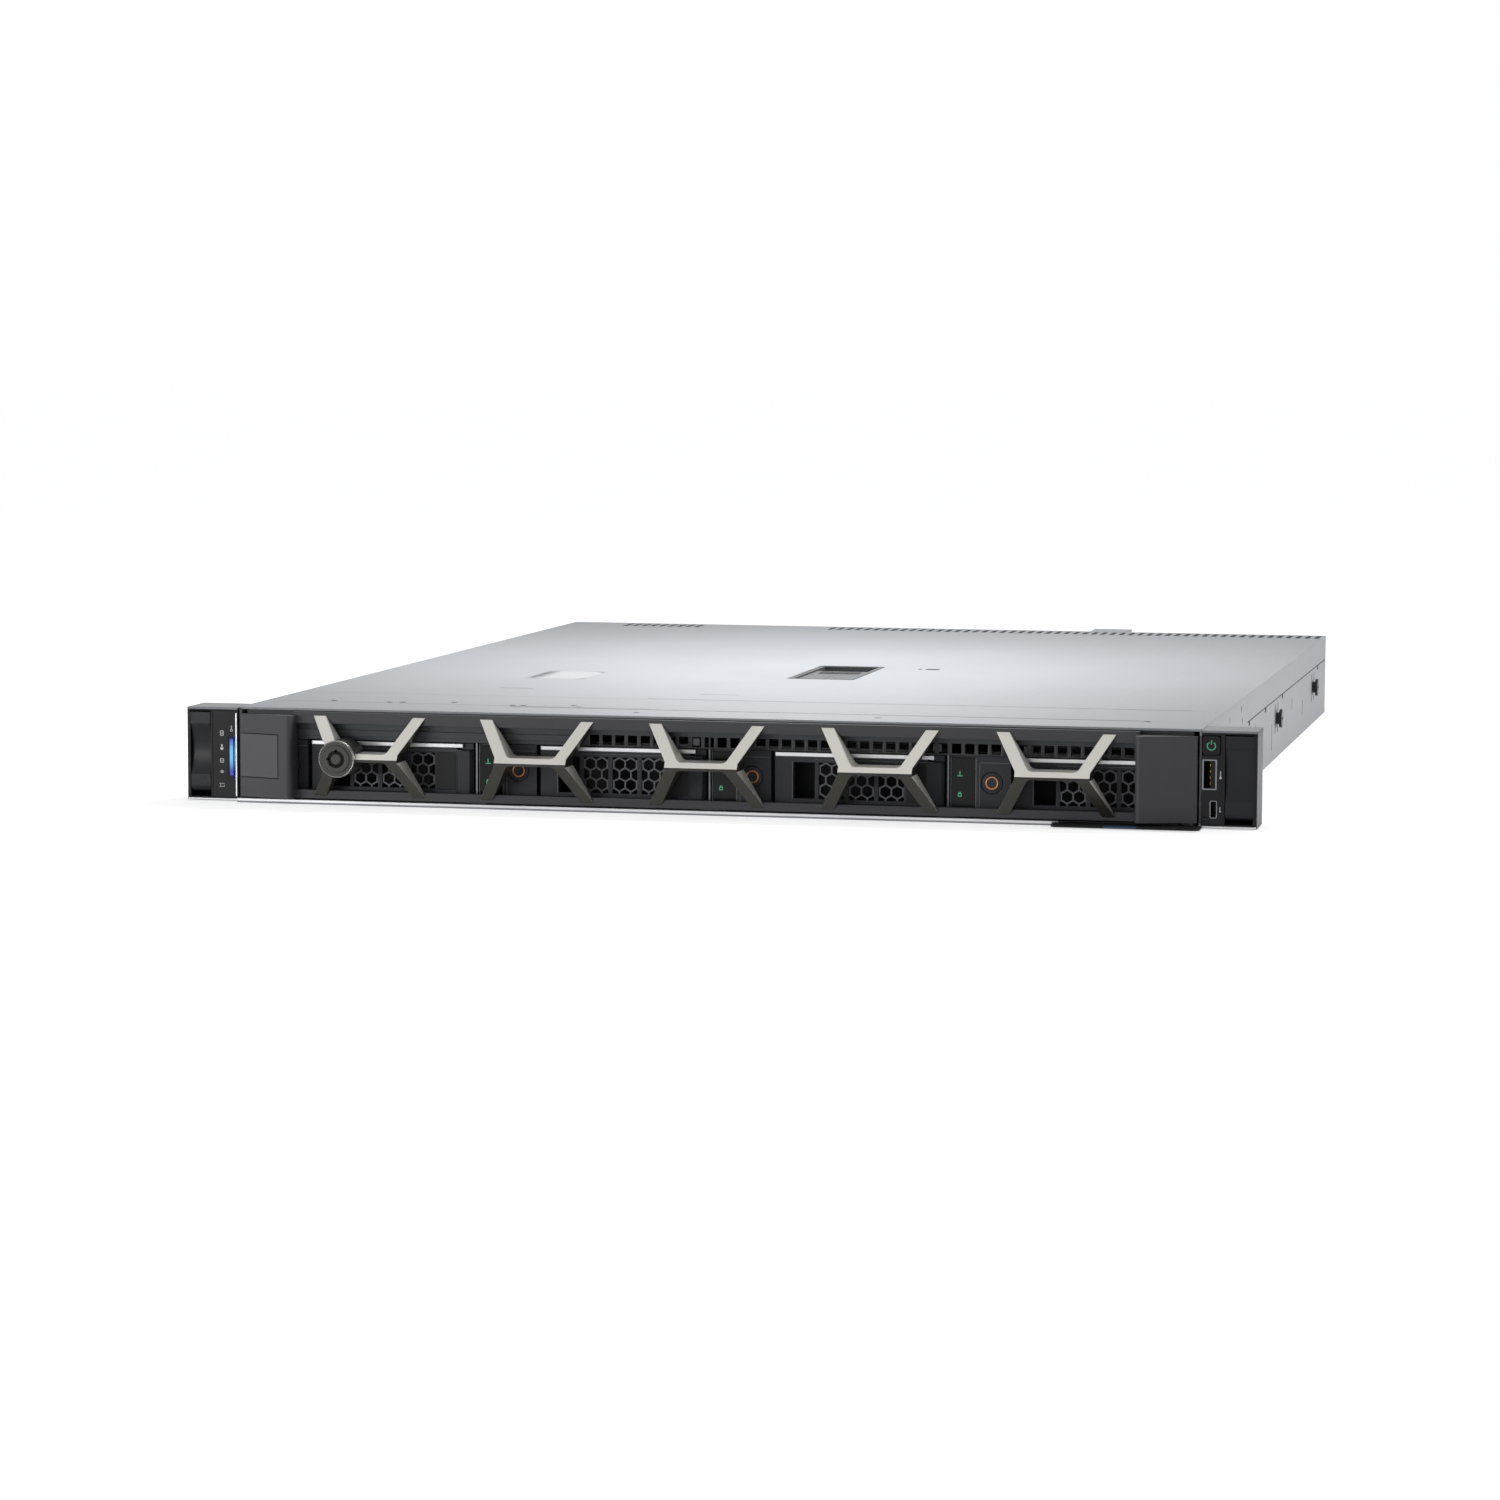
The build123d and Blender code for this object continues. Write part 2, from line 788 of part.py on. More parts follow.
def build_shell(x, z, size, front_y, depth, wall):
    """An open metal shell of the given (width, height)."""
    x_span = (x - size[0] / 2, x + size[0] / 2)
    z_span = (z - size[1] / 2, z + size[1] / 2)
    block(x_span, (front_y, front_y + depth), z_span)
    block(
        (x_span[0] + wall, x_span[1] - wall),
        (front_y, front_y + depth - wall),
        (z_span[0] + wall, z_span[1] - wall),
        Mode.SUBTRACT,
    )


with BuildPart() as panel_sockets:
    socket_front = -ear_depth - socket_proud
    build_shell(usb_x, usb_z, (usb_width, usb_height), socket_front, usb_depth, usb_wall)
    tongue_right = usb_x + usb_width / 2 - usb_wall
    block(
        (tongue_right - usb_tongue, tongue_right),
        (socket_front + usb_wall, socket_front + usb_depth - usb_wall),
        (usb_z - usb_height / 2 + usb_wall, usb_z + usb_height / 2 - usb_wall),
    )
    build_shell(micro_x, micro_z, (micro_width, micro_height), socket_front, micro_depth, micro_wall)
save(panel_sockets, "panel_sockets")

# Information tag and the flat holder that it slides in, let into the floor
tag_bottom = tag_skin + tag_air
holder_top = 2 * (tag_skin + tag_air) + tag_thickness
tag_z = (tag_bottom, tag_bottom + tag_thickness)
with BuildPart() as tag_holder:
    block((holder_left, holder_right), (holder_front, holder_back), (0, holder_top))
    block(
        (tag_left - tag_air, tag_right + tag_air),
        (holder_front, holder_back - tag_wall),
        (tag_skin, holder_top - tag_skin),
        Mode.SUBTRACT,
    )
save(tag_holder, "tag_holder")

with BuildPart() as info_tag:
    tag_back = holder_back - tag_wall - air
    block((tag_left, tag_right), (-hem_front - air, tag_back), tag_z)
    with BuildSketch(Plane.XY.offset(tag_z[0])) as grip:
        with Locations(((tag_grip_left + tag_grip_right) / 2, -hem_front - air - tag_grip_depth / 2)):
            Rectangle(tag_grip_right - tag_grip_left, tag_grip_depth)
        chamfer(grip.vertices().sort_by(Axis.Y)[:2], tag_grip_corner)
    extrude(amount=tag_thickness)
save(info_tag, "info_tag")

# Bezel: five V-profiled ribs that come to a ridge, let into rails between two deep caps
cap_inner = half_bezel - cap_width
ridge_top = ridge_bottom + ridge_band
rail_low = bezel_bottom + bottom_rail_height
rail_high = bezel_top - top_rail_height
rib_low = bezel_bottom + rib_end
rib_high = bezel_top - rib_end


def rib_window(centre, waist_z, end_z):
    """The open trapezium between a rib's two arms, rounded where they meet the ridge."""
    waist = rib_waist - rib_arm
    spread = rib_spread - rib_arm
    with BuildSketch(mode=Mode.PRIVATE) as window:
        with BuildLine():
            Polyline(
                (centre - waist, waist_z),
                (centre - spread, end_z),
                (centre + spread, end_z),
                (centre + waist, waist_z),
                close=True,
            )
        make_face()
        nearest = window.vertices().sort_by(lambda v: abs(v.Y - waist_z))[:2]
        fillet(nearest, rib_fillet)
    return window.sketch


with BuildPart() as bezel_ribs:
    with BuildSketch(front_plane(-rib_back)):
        for centre in rib_centres:
            with BuildLine():
                Polyline(
                    (centre - rib_waist, ridge_bottom),
                    (centre - rib_waist, ridge_top),
                    (centre - rib_spread, rib_high),
                    (centre + rib_spread, rib_high),
                    (centre + rib_waist, ridge_top),
                    (centre + rib_waist, ridge_bottom),
                    (centre + rib_spread, rib_low),
                    (centre - rib_spread, rib_low),
                    close=True,
                )
            make_face()
            add(rib_window(centre, ridge_top, rib_high), mode=Mode.SUBTRACT)
            add(rib_window(centre, ridge_bottom, rib_low), mode=Mode.SUBTRACT)
    extrude(amount=bezel_reach - rib_back)
    with BuildSketch(side_plane(-half_bezel)):
        with BuildLine():
            Polyline(
                (-rib_back, rib_low),
                (-rail_front, rib_low),
                (-bezel_reach, ridge_bottom),
                (-bezel_reach, ridge_bottom + ridge_flat),
                (-rail_front, rib_high),
                (-rib_back, rib_high),
                close=True,
            )
        make_face()
    extrude(amount=bezel_width, mode=Mode.INTERSECT)
    rod_y(lock_x, lock_z, lock_ring_radius, (-bezel_reach, -rib_back), Mode.SUBTRACT)
save(bezel_ribs, "bezel_ribs")

cap_top = bezel_top - cap_drop
cap_slope = (cap_reach - cap_edge_reach) / cap_width
catch_top = cap_top - catch_top_gap


def cap_plan(side, wall):
    """Plan of an end cap, its front slanted back to the outside, drawn in by a wall."""
    edge = cap_edge_reach + (cap_slope - 1) * wall
    outer = side * (half_bezel - wall)
    inner = side * (cap_inner + wall)
    with BuildSketch(mode=Mode.PRIVATE) as plan:
        with BuildLine():
            Polyline(
                (outer, -bezel_back),
                (outer, -edge),
                (inner, -edge - cap_slope * (cap_width - 2 * wall)),
                (inner, -bezel_back),
                close=True,
            )
        make_face()
    return plan.sketch


with BuildPart() as bezel_frame:
    with BuildSketch(front_plane(-bezel_back)):
        for low, high in ((bezel_bottom, rail_low), (rail_high, bezel_top)):
            with Locations((0, (low + high) / 2)):
                Rectangle(2 * cap_inner + cap_wall, high - low)
    extrude(amount=rail_front - bezel_back)
    for side in (-1, 1):
        with BuildSketch(Plane.XY.offset(bezel_bottom)) as cap:
            add(cap_plan(side, 0))
            fillet(cap.vertices().sort_by(Axis.Y)[0], cap_round)
        extrude(amount=cap_top - bezel_bottom)
    lowest, highest = bezel_bottom + cap_wall, cap_top - cap_wall
    hollows = (
        (-1, lowest, catch_bottom - air - cap_wall),
        (-1, catch_top + air + cap_wall, highest),
        (1, lowest, highest),
    )
    for side, low, high in hollows:
        with BuildSketch(Plane.XY.offset(low)):
            add(cap_plan(side, cap_wall))
        extrude(amount=high - low, mode=Mode.SUBTRACT)
    block(
        (-half_bezel, catch_width - half_bezel + air),
        (-cap_reach, catch_travel + air - catch_back),
        (catch_bottom - air, catch_top + air),
        Mode.SUBTRACT,
    )
    add(bezel_ribs.part, mode=Mode.SUBTRACT)
save(bezel_frame, "bezel_frame")

# Release button: a wedge flush with the slanted cap
with BuildPart() as bezel_release_button:
    with BuildSketch(Plane.XY.offset(catch_bottom)):
        with BuildLine():
            Polyline(
                (-half_bezel, -cap_edge_reach),
                (catch_width - half_bezel, -cap_edge_reach - cap_slope * catch_width),
                (catch_width - half_bezel, -catch_back),
                (-half_bezel, -catch_back),
                close=True,
            )
        make_face()
    extrude(amount=catch_top - catch_bottom)
save(bezel_release_button, "bezel_release_button")

# Lock: a ring let into the first rib, and the keyed plug that turns in it
with BuildPart() as lock_housing:
    ring_y = (-lock_ring_reach, -rib_back)
    rod_y(lock_x, lock_z, lock_ring_radius, ring_y)
    rod_y(lock_x, lock_z, lock_plug_radius + turning_air, ring_y, Mode.SUBTRACT)
save(lock_housing, "lock_housing")

with BuildPart() as lock_cylinder:
    plug_y = (-lock_plug_reach, -rib_back)
    rod_y(lock_x, lock_z, lock_plug_radius, plug_y)
    keyway_y = (-lock_plug_reach, keyway_depth - lock_plug_reach)
    facet_y(lock_x, lock_z, keyway_outer, keyway_y, keyway_facets, Mode.SUBTRACT)
    facet_y(lock_x, lock_z, keyway_inner, keyway_y, keyway_facets)
save(lock_cylinder, "lock_cylinder")

# Drive carriers, their handles, release buttons and disks


def build_carrier(index, centre):
    """Carrier: face with the button recess, windowed frame, two rails and the hinge lugs."""
    left = centre - carrier_width / 2
    right = centre + carrier_width / 2
    front = -carrier_front
    frame_y = (-frame_front, frame_depth - frame_front)
    lug_y = -pivot_depth
    with BuildPart() as carrier:
        block((left, left + face_width), (front, -face_back), (carrier_bottom, carrier_top))
        block(
            (left, left + led_block_width),
            (front, front + led_block_step),
            (carrier_bottom, carrier_top),
            Mode.SUBTRACT,
        )
        block((left, right), frame_y, (carrier_bottom, carrier_top))
        block(
            (left + window_left, left + window_right),
            frame_y,
            (carrier_bottom + window_sill, carrier_top - window_sill),
            Mode.SUBTRACT,
        )
        for low, high in ((left, left + rail_thickness), (right - rail_thickness, right)):
            block(
                (low, high),
                (-face_back - frame_depth, disk_back),
                (carrier_bottom, carrier_bottom + rail_height),
            )
        for low in (handle_bottom, handle_top - lug_height):
            lug_z = (low, low + lug_height)
            lug_x = (left + pivot_x - pivot_radius, left + pivot_x + pivot_radius)
            block(lug_x, (lug_y - lug_nose, -frame_front), lug_z)
        rod_z(left + pivot_x, lug_y, pivot_pin_radius, (handle_bottom, handle_top))
        recess_y = (front, front + button_inset + button_length + button_travel + air)
        facet_y(
            left + button_x, button_z, button_recess_radius, recess_y, button_facets, Mode.SUBTRACT
        )
    save(carrier, f"drive_carrier_{index}")


def build_handle(index, centre):
    """Handle: grip window, three bays of six-sided cells between ribs, and a hinge knuckle."""
    left = centre - carrier_width / 2
    front = -carrier_front
    back = front + handle_depth
    knuckle_z = (handle_bottom + lug_height + air, handle_top - lug_height - air)
    grille_z = grille_bottom + grille_height / 2
    bay_step = grille_bay_width + grille_rib
    with BuildPart() as handle:
        plate_x = (left + handle_left, left + handle_full_right)
        block(plate_x, (front, back), (handle_bottom, handle_top))
        with BuildSketch(Plane.XY.offset(knuckle_z[0])) as knuckle:
            low_x = left + handle_full_right
            high_x = left + pivot_x + pivot_radius
            with Locations(((low_x + high_x) / 2, -pivot_depth)):
                Rectangle(high_x - low_x, 2 * pivot_radius)
            chamfer(knuckle.vertices().sort_by(Axis.X)[-2:], knuckle_corner)
        extrude(amount=knuckle_z[1] - knuckle_z[0])
        rod_z(left + pivot_x, -pivot_depth, pivot_pin_radius + turning_air, knuckle_z, Mode.SUBTRACT)
        block(
            (left + grip_window_left, left + grip_window_left + grip_window_width),
            (front, back),
            (grille_bottom, grille_bottom + grille_height),
            Mode.SUBTRACT,
        )
        block(
            (left + grille_left, left + grille_left + grille_bays * bay_step - grille_rib),
            (front + grille_skin, back),
            (grille_bottom, grille_bottom + grille_height),
            Mode.SUBTRACT,
        )
        with BuildSketch(front_plane(front + grille_skin)):
            cell_radius = (cell_pitch - cell_web) / sqrt(3)
            row_step = cell_pitch * sqrt(3) / 2
            for i in range(grille_bays):
                middle = left + grille_left + i * bay_step + grille_bay_width / 2
                cells = [(side * cell_pitch / 2, row * row_step) for side in (-1, 1) for row in (-1, 1)]
                cells.append((0, 0))
                with Locations([(middle + x, grille_z + z) for x, z in cells]):
                    RegularPolygon(cell_radius, 6, rotation=30)
        extrude(amount=grille_skin, mode=Mode.SUBTRACT)
    save(handle, f"carrier_handle_{index}")


def build_carrier_button(index, centre):
    """Round release button."""
    x = centre - carrier_width / 2 + button_x
    front = -carrier_front + button_inset
    with BuildPart() as button:
        button_y = (front, front + button_length)
        facet_y(x, button_z, button_recess_radius - air, button_y, button_facets)
    save(button, f"carrier_button_{index}")


def build_disk(index, centre):
    """Hard disk: cast body, raised lid and the plug block at its rear."""
    with BuildPart() as disk:
        low_x = centre - disk_width / 2
        high_x = centre + disk_width / 2
        block((low_x, high_x), (disk_front, disk_back), (carrier_bottom, carrier_top - lid_height))
        with BuildSketch(Plane.XY.offset(carrier_top - lid_height)) as lid:
            with Locations((centre, (disk_front + disk_back) / 2)):
                Rectangle(disk_width - 2 * lid_inset, disk_length - 2 * lid_inset)
            chamfer(lid.vertices(), lid_corner)
        extrude(amount=lid_height)
    save(disk, f"hard_disk_{index}")


for number, centre in enumerate(bay_centres, start=1):
    build_carrier(number, centre)
    build_handle(number, centre)
    build_carrier_button(number, centre)
    build_disk(number, centre)

# Backplane with the drives' sockets
socket_low = carrier_bottom + socket_block_lift
with BuildPart() as backplane:
    plane_y = (backplane_front, backplane_front + board_thickness)
    plane_z = (tray_sheet, tray_sheet + backplane_height)
    block((-backplane_width / 2, backplane_width / 2), plane_y, plane_z)
    for centre in bay_centres:
        block(
            (centre - socket_block_width / 2, centre + socket_block_width / 2),
            (disk_back + air, backplane_front),
            (socket_low, socket_low + socket_block_height),
        )
save(backplane, "backplane")

# Fans


def build_fan_housing(centre):
    """Square fan frame with a round bore and a stator on four struts."""
    mid_z = tray_sheet + fan_size / 2
    back = fan_front + fan_length
    stator_y = (back - fan_stator_length, back)
    block(
        (centre - fan_size / 2, centre + fan_size / 2),
        (fan_front, back),
        (tray_sheet, tray_sheet + fan_size),
    )
    facet_y(centre, mid_z, fan_bore, (fan_front, back), fan_bore_facets, Mode.SUBTRACT)
    facet_y(centre, mid_z, fan_hub_radius, stator_y, fan_hub_facets)
    reach = fan_bore + fan_root
    half_strut = fan_strut / 2
    block((centre - reach, centre + reach), stator_y, (mid_z - half_strut, mid_z + half_strut))
    block((centre - half_strut, centre + half_strut), stator_y, (mid_z - reach, mid_z + reach))


def build_rotor(name, centre, mid_z, stator_front, bore):
    """Fan rotor: closed hub that runs just in front of its stator, and pitched blades."""
    length = fan_rotor_length
    back = stator_front - air
    front = back - length
    mid_y = (front + back) / 2
    with BuildPart() as rotor:
        rod_y(centre, mid_z, fan_hub_radius, (front, back))
        root = fan_hub_radius - fan_root
        for i in range(fan_blade_count):
            turn = i * 360 / fan_blade_count
            blade_plane = Plane(
                origin=(centre + root * cos(radians(turn)), mid_y, mid_z + root * sin(radians(turn))),
                x_dir=(-sin(radians(turn)), 0, cos(radians(turn))),
                z_dir=(cos(radians(turn)), 0, sin(radians(turn))),
            )
            with BuildSketch(blade_plane):
                chord = (length - 2 * fan_blade_inset) / cos(radians(fan_blade_pitch))
                Rectangle(fan_blade_thickness, chord, rotation=fan_blade_pitch)
            extrude(amount=bore - fan_blade_air - root)
    save(rotor, name)


with BuildPart() as fan_housings:
    for centre in fan_centres:
        build_fan_housing(centre)
save(fan_housings, "fan_housings")

stator_front = fan_front + fan_length - fan_stator_length
for number, centre in enumerate(fan_centres, start=1):
    build_rotor(f"fan_rotor_{number}", centre, tray_sheet + fan_size / 2, stator_front, fan_bore)

# Motherboard on the tray's standoffs, processor, heat sink, memory and the air shroud over them
with BuildPart() as motherboard:
    block((board_left, board_right), (board_front, board_back), (board_bottom, board_top))
save(motherboard, "motherboard")

with BuildPart() as processor:
    with Locations((cpu_x, cpu_y, board_top + cpu_height / 2)):
        Box(cpu_size, cpu_size, cpu_height)
save(processor, "processor")

with BuildPart() as heat_sink:
    sink_bottom = board_top + cpu_height
    sink_x = (cpu_x - sink_width / 2, cpu_x + sink_width / 2)
    sink_y = (cpu_y - sink_length / 2, cpu_y + sink_length / 2)
    block(sink_x, sink_y, (sink_bottom, sink_bottom + sink_base))
    fin_step = (sink_width - fin_thickness) / (fin_count - 1)
    for i in range(fin_count):
        fin_left = sink_x[0] + i * fin_step
        block((fin_left, fin_left + fin_thickness), sink_y, (sink_bottom, sink_bottom + sink_height))
save(heat_sink, "heat_sink")

dimm_places = [
    cpu_x + side * (dimm_offset + i * dimm_pitch) for side in (-1, 1) for i in range(2)
]
with BuildPart() as memory_sockets:
    for x in dimm_places:
        block(
            (x - dimm_socket_width / 2, x + dimm_socket_width / 2),
            (cpu_y - dimm_socket_length / 2, cpu_y + dimm_socket_length / 2),
            (board_top, board_top + dimm_socket_height),
        )
        block(
            (x - dimm_thickness / 2, x + dimm_thickness / 2),
            (cpu_y - dimm_length / 2, cpu_y + dimm_length / 2),
            (board_top + dimm_seat, board_top + dimm_socket_height),
            Mode.SUBTRACT,
        )
save(memory_sockets, "memory_sockets")

with BuildPart() as memory_modules:
    for x in dimm_places:
        block(
            (x - dimm_thickness / 2, x + dimm_thickness / 2),
            (cpu_y - dimm_length / 2, cpu_y + dimm_length / 2),
            (board_top + dimm_seat, board_top + dimm_seat + dimm_height),
        )
save(memory_modules, "memory_modules")

with BuildPart() as air_shroud:
    outer_x = (sink_x[0] - shroud_air - shroud_wall, sink_x[1] + shroud_air + shroud_wall)
    shroud_y = (shroud_front, shroud_back)
    block(outer_x, shroud_y, (board_top, shroud_top))
    block(
        (outer_x[0] + shroud_wall, outer_x[1] - shroud_wall),
        shroud_y,
        (board_top, shroud_top - shroud_wall),
        Mode.SUBTRACT,
    )
save(air_shroud, "air_shroud")

# Power supply: case with a fan tunnel and an inlet pocket at the rear
psu_mid_z = tray_sheet + psu_height / 2
psu_back = body_depth
with BuildPart() as psu_case:
    block((psu_left, psu_right), (psu_front, psu_back), (tray_sheet, psu_top))
    rod_y(
        psu_fan_x,
        psu_mid_z,
        psu_fan_bore,
        (psu_back - psu_fan_depth, psu_back),
        Mode.SUBTRACT,
    )
    stator_y = (psu_back - fan_stator_length, psu_back)
    facet_y(psu_fan_x, psu_mid_z, fan_hub_radius, stator_y, fan_hub_facets)
    block(
        (psu_fan_x - psu_fan_bore - fan_root, psu_fan_x + psu_fan_bore + fan_root),
        stator_y,
        (psu_mid_z - fan_strut / 2, psu_mid_z + fan_strut / 2),
    )
    block(
        (inlet_x - inlet_width / 2, inlet_x + inlet_width / 2),
        (psu_back - inlet_depth, psu_back),
        (psu_mid_z - inlet_height / 2, psu_mid_z + inlet_height / 2),
        Mode.SUBTRACT,
    )
save(psu_case, "psu_case")

build_rotor("psu_fan_rotor", psu_fan_x, psu_mid_z, psu_back - fan_stator_length, psu_fan_bore)

with BuildPart() as power_inlet:
    inlet_z = (psu_mid_z - inlet_height / 2, psu_mid_z + inlet_height / 2)
    inlet_x_span = (inlet_x - inlet_width / 2, inlet_x + inlet_width / 2)
    block(inlet_x_span, (psu_back - inlet_depth, psu_back + inlet_flange), inlet_z)
    mouth_low = psu_back - inlet_depth + inlet_floor
    block(
        (inlet_x_span[0] + inlet_wall, inlet_x_span[1] - inlet_wall),
        (mouth_low, psu_back + inlet_flange),
        (inlet_z[0] + inlet_wall, inlet_z[1] - inlet_wall),
        Mode.SUBTRACT,
    )
    pin_half_width, pin_half_height = inlet_pin_size[0] / 2, inlet_pin_size[1] / 2
    for x, z in inlet_pin_places:
        block(
            (inlet_x + x - pin_half_width, inlet_x + x + pin_half_width),
            (mouth_low, psu_back - inlet_pin_inset),
            (psu_mid_z + z - pin_half_height, psu_mid_z + z + pin_half_height),
        )
save(power_inlet, "power_inlet")

# Rear ports on the motherboard's edge
with BuildPart() as rear_ports:
    port_back = body_depth
    for x in jack_positions:
        jack_x = (x - jack_width / 2, x + jack_width / 2)
        block(jack_x, (port_back - jack_depth, port_back), (board_top, board_top + jack_height))
        mouth_z = board_top + jack_mouth_sill
        block(
            (x - jack_mouth[0] / 2, x + jack_mouth[0] / 2),
            (port_back - jack_mouth[2], port_back),
            (mouth_z, mouth_z + jack_mouth[1]),
            Mode.SUBTRACT,
        )
    stack_x = (usb_stack_x - usb_stack_width / 2, usb_stack_x + usb_stack_width / 2)
    stack_y = (port_back - usb_stack_depth, port_back)
    block(stack_x, stack_y, (board_top, board_top + usb_stack_height))
    mouth_x = (stack_x[0] + usb_stack_wall, stack_x[1] - usb_stack_wall)
    mouth_y = (port_back - port_mouth_depth, port_back)
    for level in usb_stack_levels:
        low = board_top + level
        tongue_low = low + usb_tongue_sill
        block(mouth_x, mouth_y, (low, low + usb_mouth_height), Mode.SUBTRACT)
        block(
            mouth_x,
            (mouth_y[0], port_back - usb_tongue_inset),
            (tongue_low, tongue_low + usb_tongue_height),
        )
    vga_back = (port_back - vga_depth, port_back)
    block((vga_x - vga_width / 2, vga_x + vga_width / 2), vga_back, (board_top, board_top + vga_height))
save(rear_ports, "rear_ports")

# Expansion slot covers and the riser card behind them
with BuildPart() as slot_covers:
    for i in range(slot_count):
        left = slot_left + i * slot_cover_pitch
        block(
            (left, left + slot_cover_length),
            (rear_inside - tray_sheet, rear_inside),
            (slot_cover_bottom, slot_cover_bottom + slot_cover_height),
        )
save(slot_covers, "slot_covers")

with BuildPart() as riser_card:
    block(
        (riser_x, riser_x + board_thickness),
        (riser_front, riser_front + riser_length),
        (board_top, board_top + riser_height),
    )
save(riser_card, "riser_card")

# Small bracket that stands out from the top of the rear wall
with BuildPart() as rear_tab:
    tab_y = (body_depth, body_depth + tab_sheet)
    block((tab_left, tab_right), tab_y, (body_height - tab_drop, body_height))
    block(
        (tab_left, tab_right),
        (body_depth, body_depth + tab_reach),
        (body_height - tab_sheet, body_height),
    )
save(rear_tab, "rear_tab")

# Shoulder studs on both sides
with BuildPart() as side_studs:
    for side in (-1, 1):
        for y in stud_positions:
            with BuildSketch(side_plane(side * half_width)):
                with Locations((y, stud_z)):
                    RegularPolygon(stud_shank_radius, stud_facets)
            extrude(amount=side * stud_shank_length)
            with BuildSketch(side_plane(side * (half_width + stud_shank_length))):
                with Locations((y, stud_z)):
                    RegularPolygon(stud_head_radius, stud_facets)
            extrude(amount=side * stud_head_length)
save(side_studs, "side_studs")

# Latch of the cover: a well let into the sheet, with the pin that carries its lever
lever_top = body_height - lever_inset
lever_pivot_z = lever_top - lever_thickness
with BuildPart() as cover_latch_base:
    well_z = (body_height - latch_well_depth, body_height)
    plate_x = (latch_plate_left, latch_plate_right)
    plate_y = (latch_plate_front, latch_plate_back)
    block(plate_x, plate_y, well_z)
    block(
        (plate_x[0] + latch_plate_wall, plate_x[1] - latch_plate_wall),
        (plate_y[0] + latch_plate_wall, plate_y[1] - latch_plate_wall),
        (well_z[0] + cover_sheet, body_height),
        Mode.SUBTRACT,
    )
    pin_x = (plate_x[0] + latch_plate_wall, plate_x[1] - latch_plate_wall)
    rod_x(lever_pivot_y, lever_pivot_z, lever_pin_radius, pin_x)
save(cover_latch_base, "cover_latch_base")

lever_x = (
    latch_plate_left + latch_plate_wall + air,
    latch_plate_right - latch_plate_wall - air,
)
with BuildPart() as cover_latch_lever:
    block(lever_x, (lever_pivot_y, lever_back), (lever_pivot_z, lever_top))
    rod_x(lever_pivot_y, lever_pivot_z, lever_pivot_radius, lever_x)
    rod_x(lever_pivot_y, lever_pivot_z, lever_pin_radius + turning_air, lever_x, Mode.SUBTRACT)
save(cover_latch_lever, "cover_latch_lever")
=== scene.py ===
"""Looks of a rack server one unit high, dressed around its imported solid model.

Shapes are given in millimetres, in the frame of the solids: X to the right seen from the front,
Y to the rear, Z up, with Y = 0 at the rear face of the ears. Points are turned to metres once,
when a mesh is made.
"""

import logging
from dataclasses import dataclass, field
from enum import Enum
from typing import Iterable, Sequence

import bmesh
import bpy
import numpy as np
from mathutils import Matrix


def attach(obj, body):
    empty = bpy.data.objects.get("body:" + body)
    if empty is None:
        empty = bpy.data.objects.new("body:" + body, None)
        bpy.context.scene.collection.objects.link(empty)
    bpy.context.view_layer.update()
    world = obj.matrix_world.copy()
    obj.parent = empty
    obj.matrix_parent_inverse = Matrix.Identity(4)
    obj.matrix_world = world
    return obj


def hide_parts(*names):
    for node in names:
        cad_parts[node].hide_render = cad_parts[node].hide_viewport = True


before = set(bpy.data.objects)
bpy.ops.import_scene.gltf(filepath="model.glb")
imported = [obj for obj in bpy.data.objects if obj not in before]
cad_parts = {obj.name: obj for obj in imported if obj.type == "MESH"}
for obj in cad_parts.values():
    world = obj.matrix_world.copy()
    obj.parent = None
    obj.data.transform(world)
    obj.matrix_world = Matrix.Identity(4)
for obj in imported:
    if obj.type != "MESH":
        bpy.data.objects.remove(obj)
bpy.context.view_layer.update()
MM = 0.001
LOG = logging.getLogger("rack_server")

# Depth in millimetres by which a mark is set into the face that it lies on
SINK = 0.1

BAY_CENTRES = (-159.75, -53.25, 53.25, 159.75)
BAY_NUMBERS = (1, 2, 3, 4)
CARRIER_HALF_WIDTH = 52.55


# ---------------------------------------------------------------------------------------------
# Surfaces
# ---------------------------------------------------------------------------------------------


class Facing(Enum):
    """Way that a flat outline faces."""

    FRONT = "front"
    REAR = "rear"
    TOP = "top"
    RIGHT = "right"
    LEFT = "left"

    def place(self, outline: np.ndarray, height: np.ndarray | float) -> np.ndarray:
        """Put points (a, b) of an outline in space at a height along the facing direction.

        Args:
            outline: Array whose last axis is (a, b), where a runs across and b up or back.
            height: Distance from the frame's origin along the facing direction.

        Returns:
            The points, with a last axis of X, Y and Z.
        """
        a, b = outline[..., 0], outline[..., 1]
        h = np.broadcast_to(np.asarray(height, float), a.shape)
        order = {
            Facing.FRONT: (a, -h, b),
            Facing.REAR: (a, h, b),
            Facing.TOP: (a, b, h),
            Facing.RIGHT: (h, a, b),
            Facing.LEFT: (-h, a, b),
        }[self]
        return np.stack(order, axis=-1)


@dataclass
class Surface:
    """Points in millimetres and the faces between them, as arrays of point numbers."""

    points: np.ndarray
    faces: list[np.ndarray]

    def __add__(self, other: "Surface") -> "Surface":
        """Both surfaces as one."""
        moved = [block + len(self.points) for block in other.faces]
        return Surface(np.vstack([self.points, other.points]), self.faces + moved)


def joined(parts: Iterable[Surface]) -> Surface:
    """One surface that holds all the given ones."""
    total = Surface(np.zeros((0, 3)), [])
    for part in parts:
        total = total + part
    return total


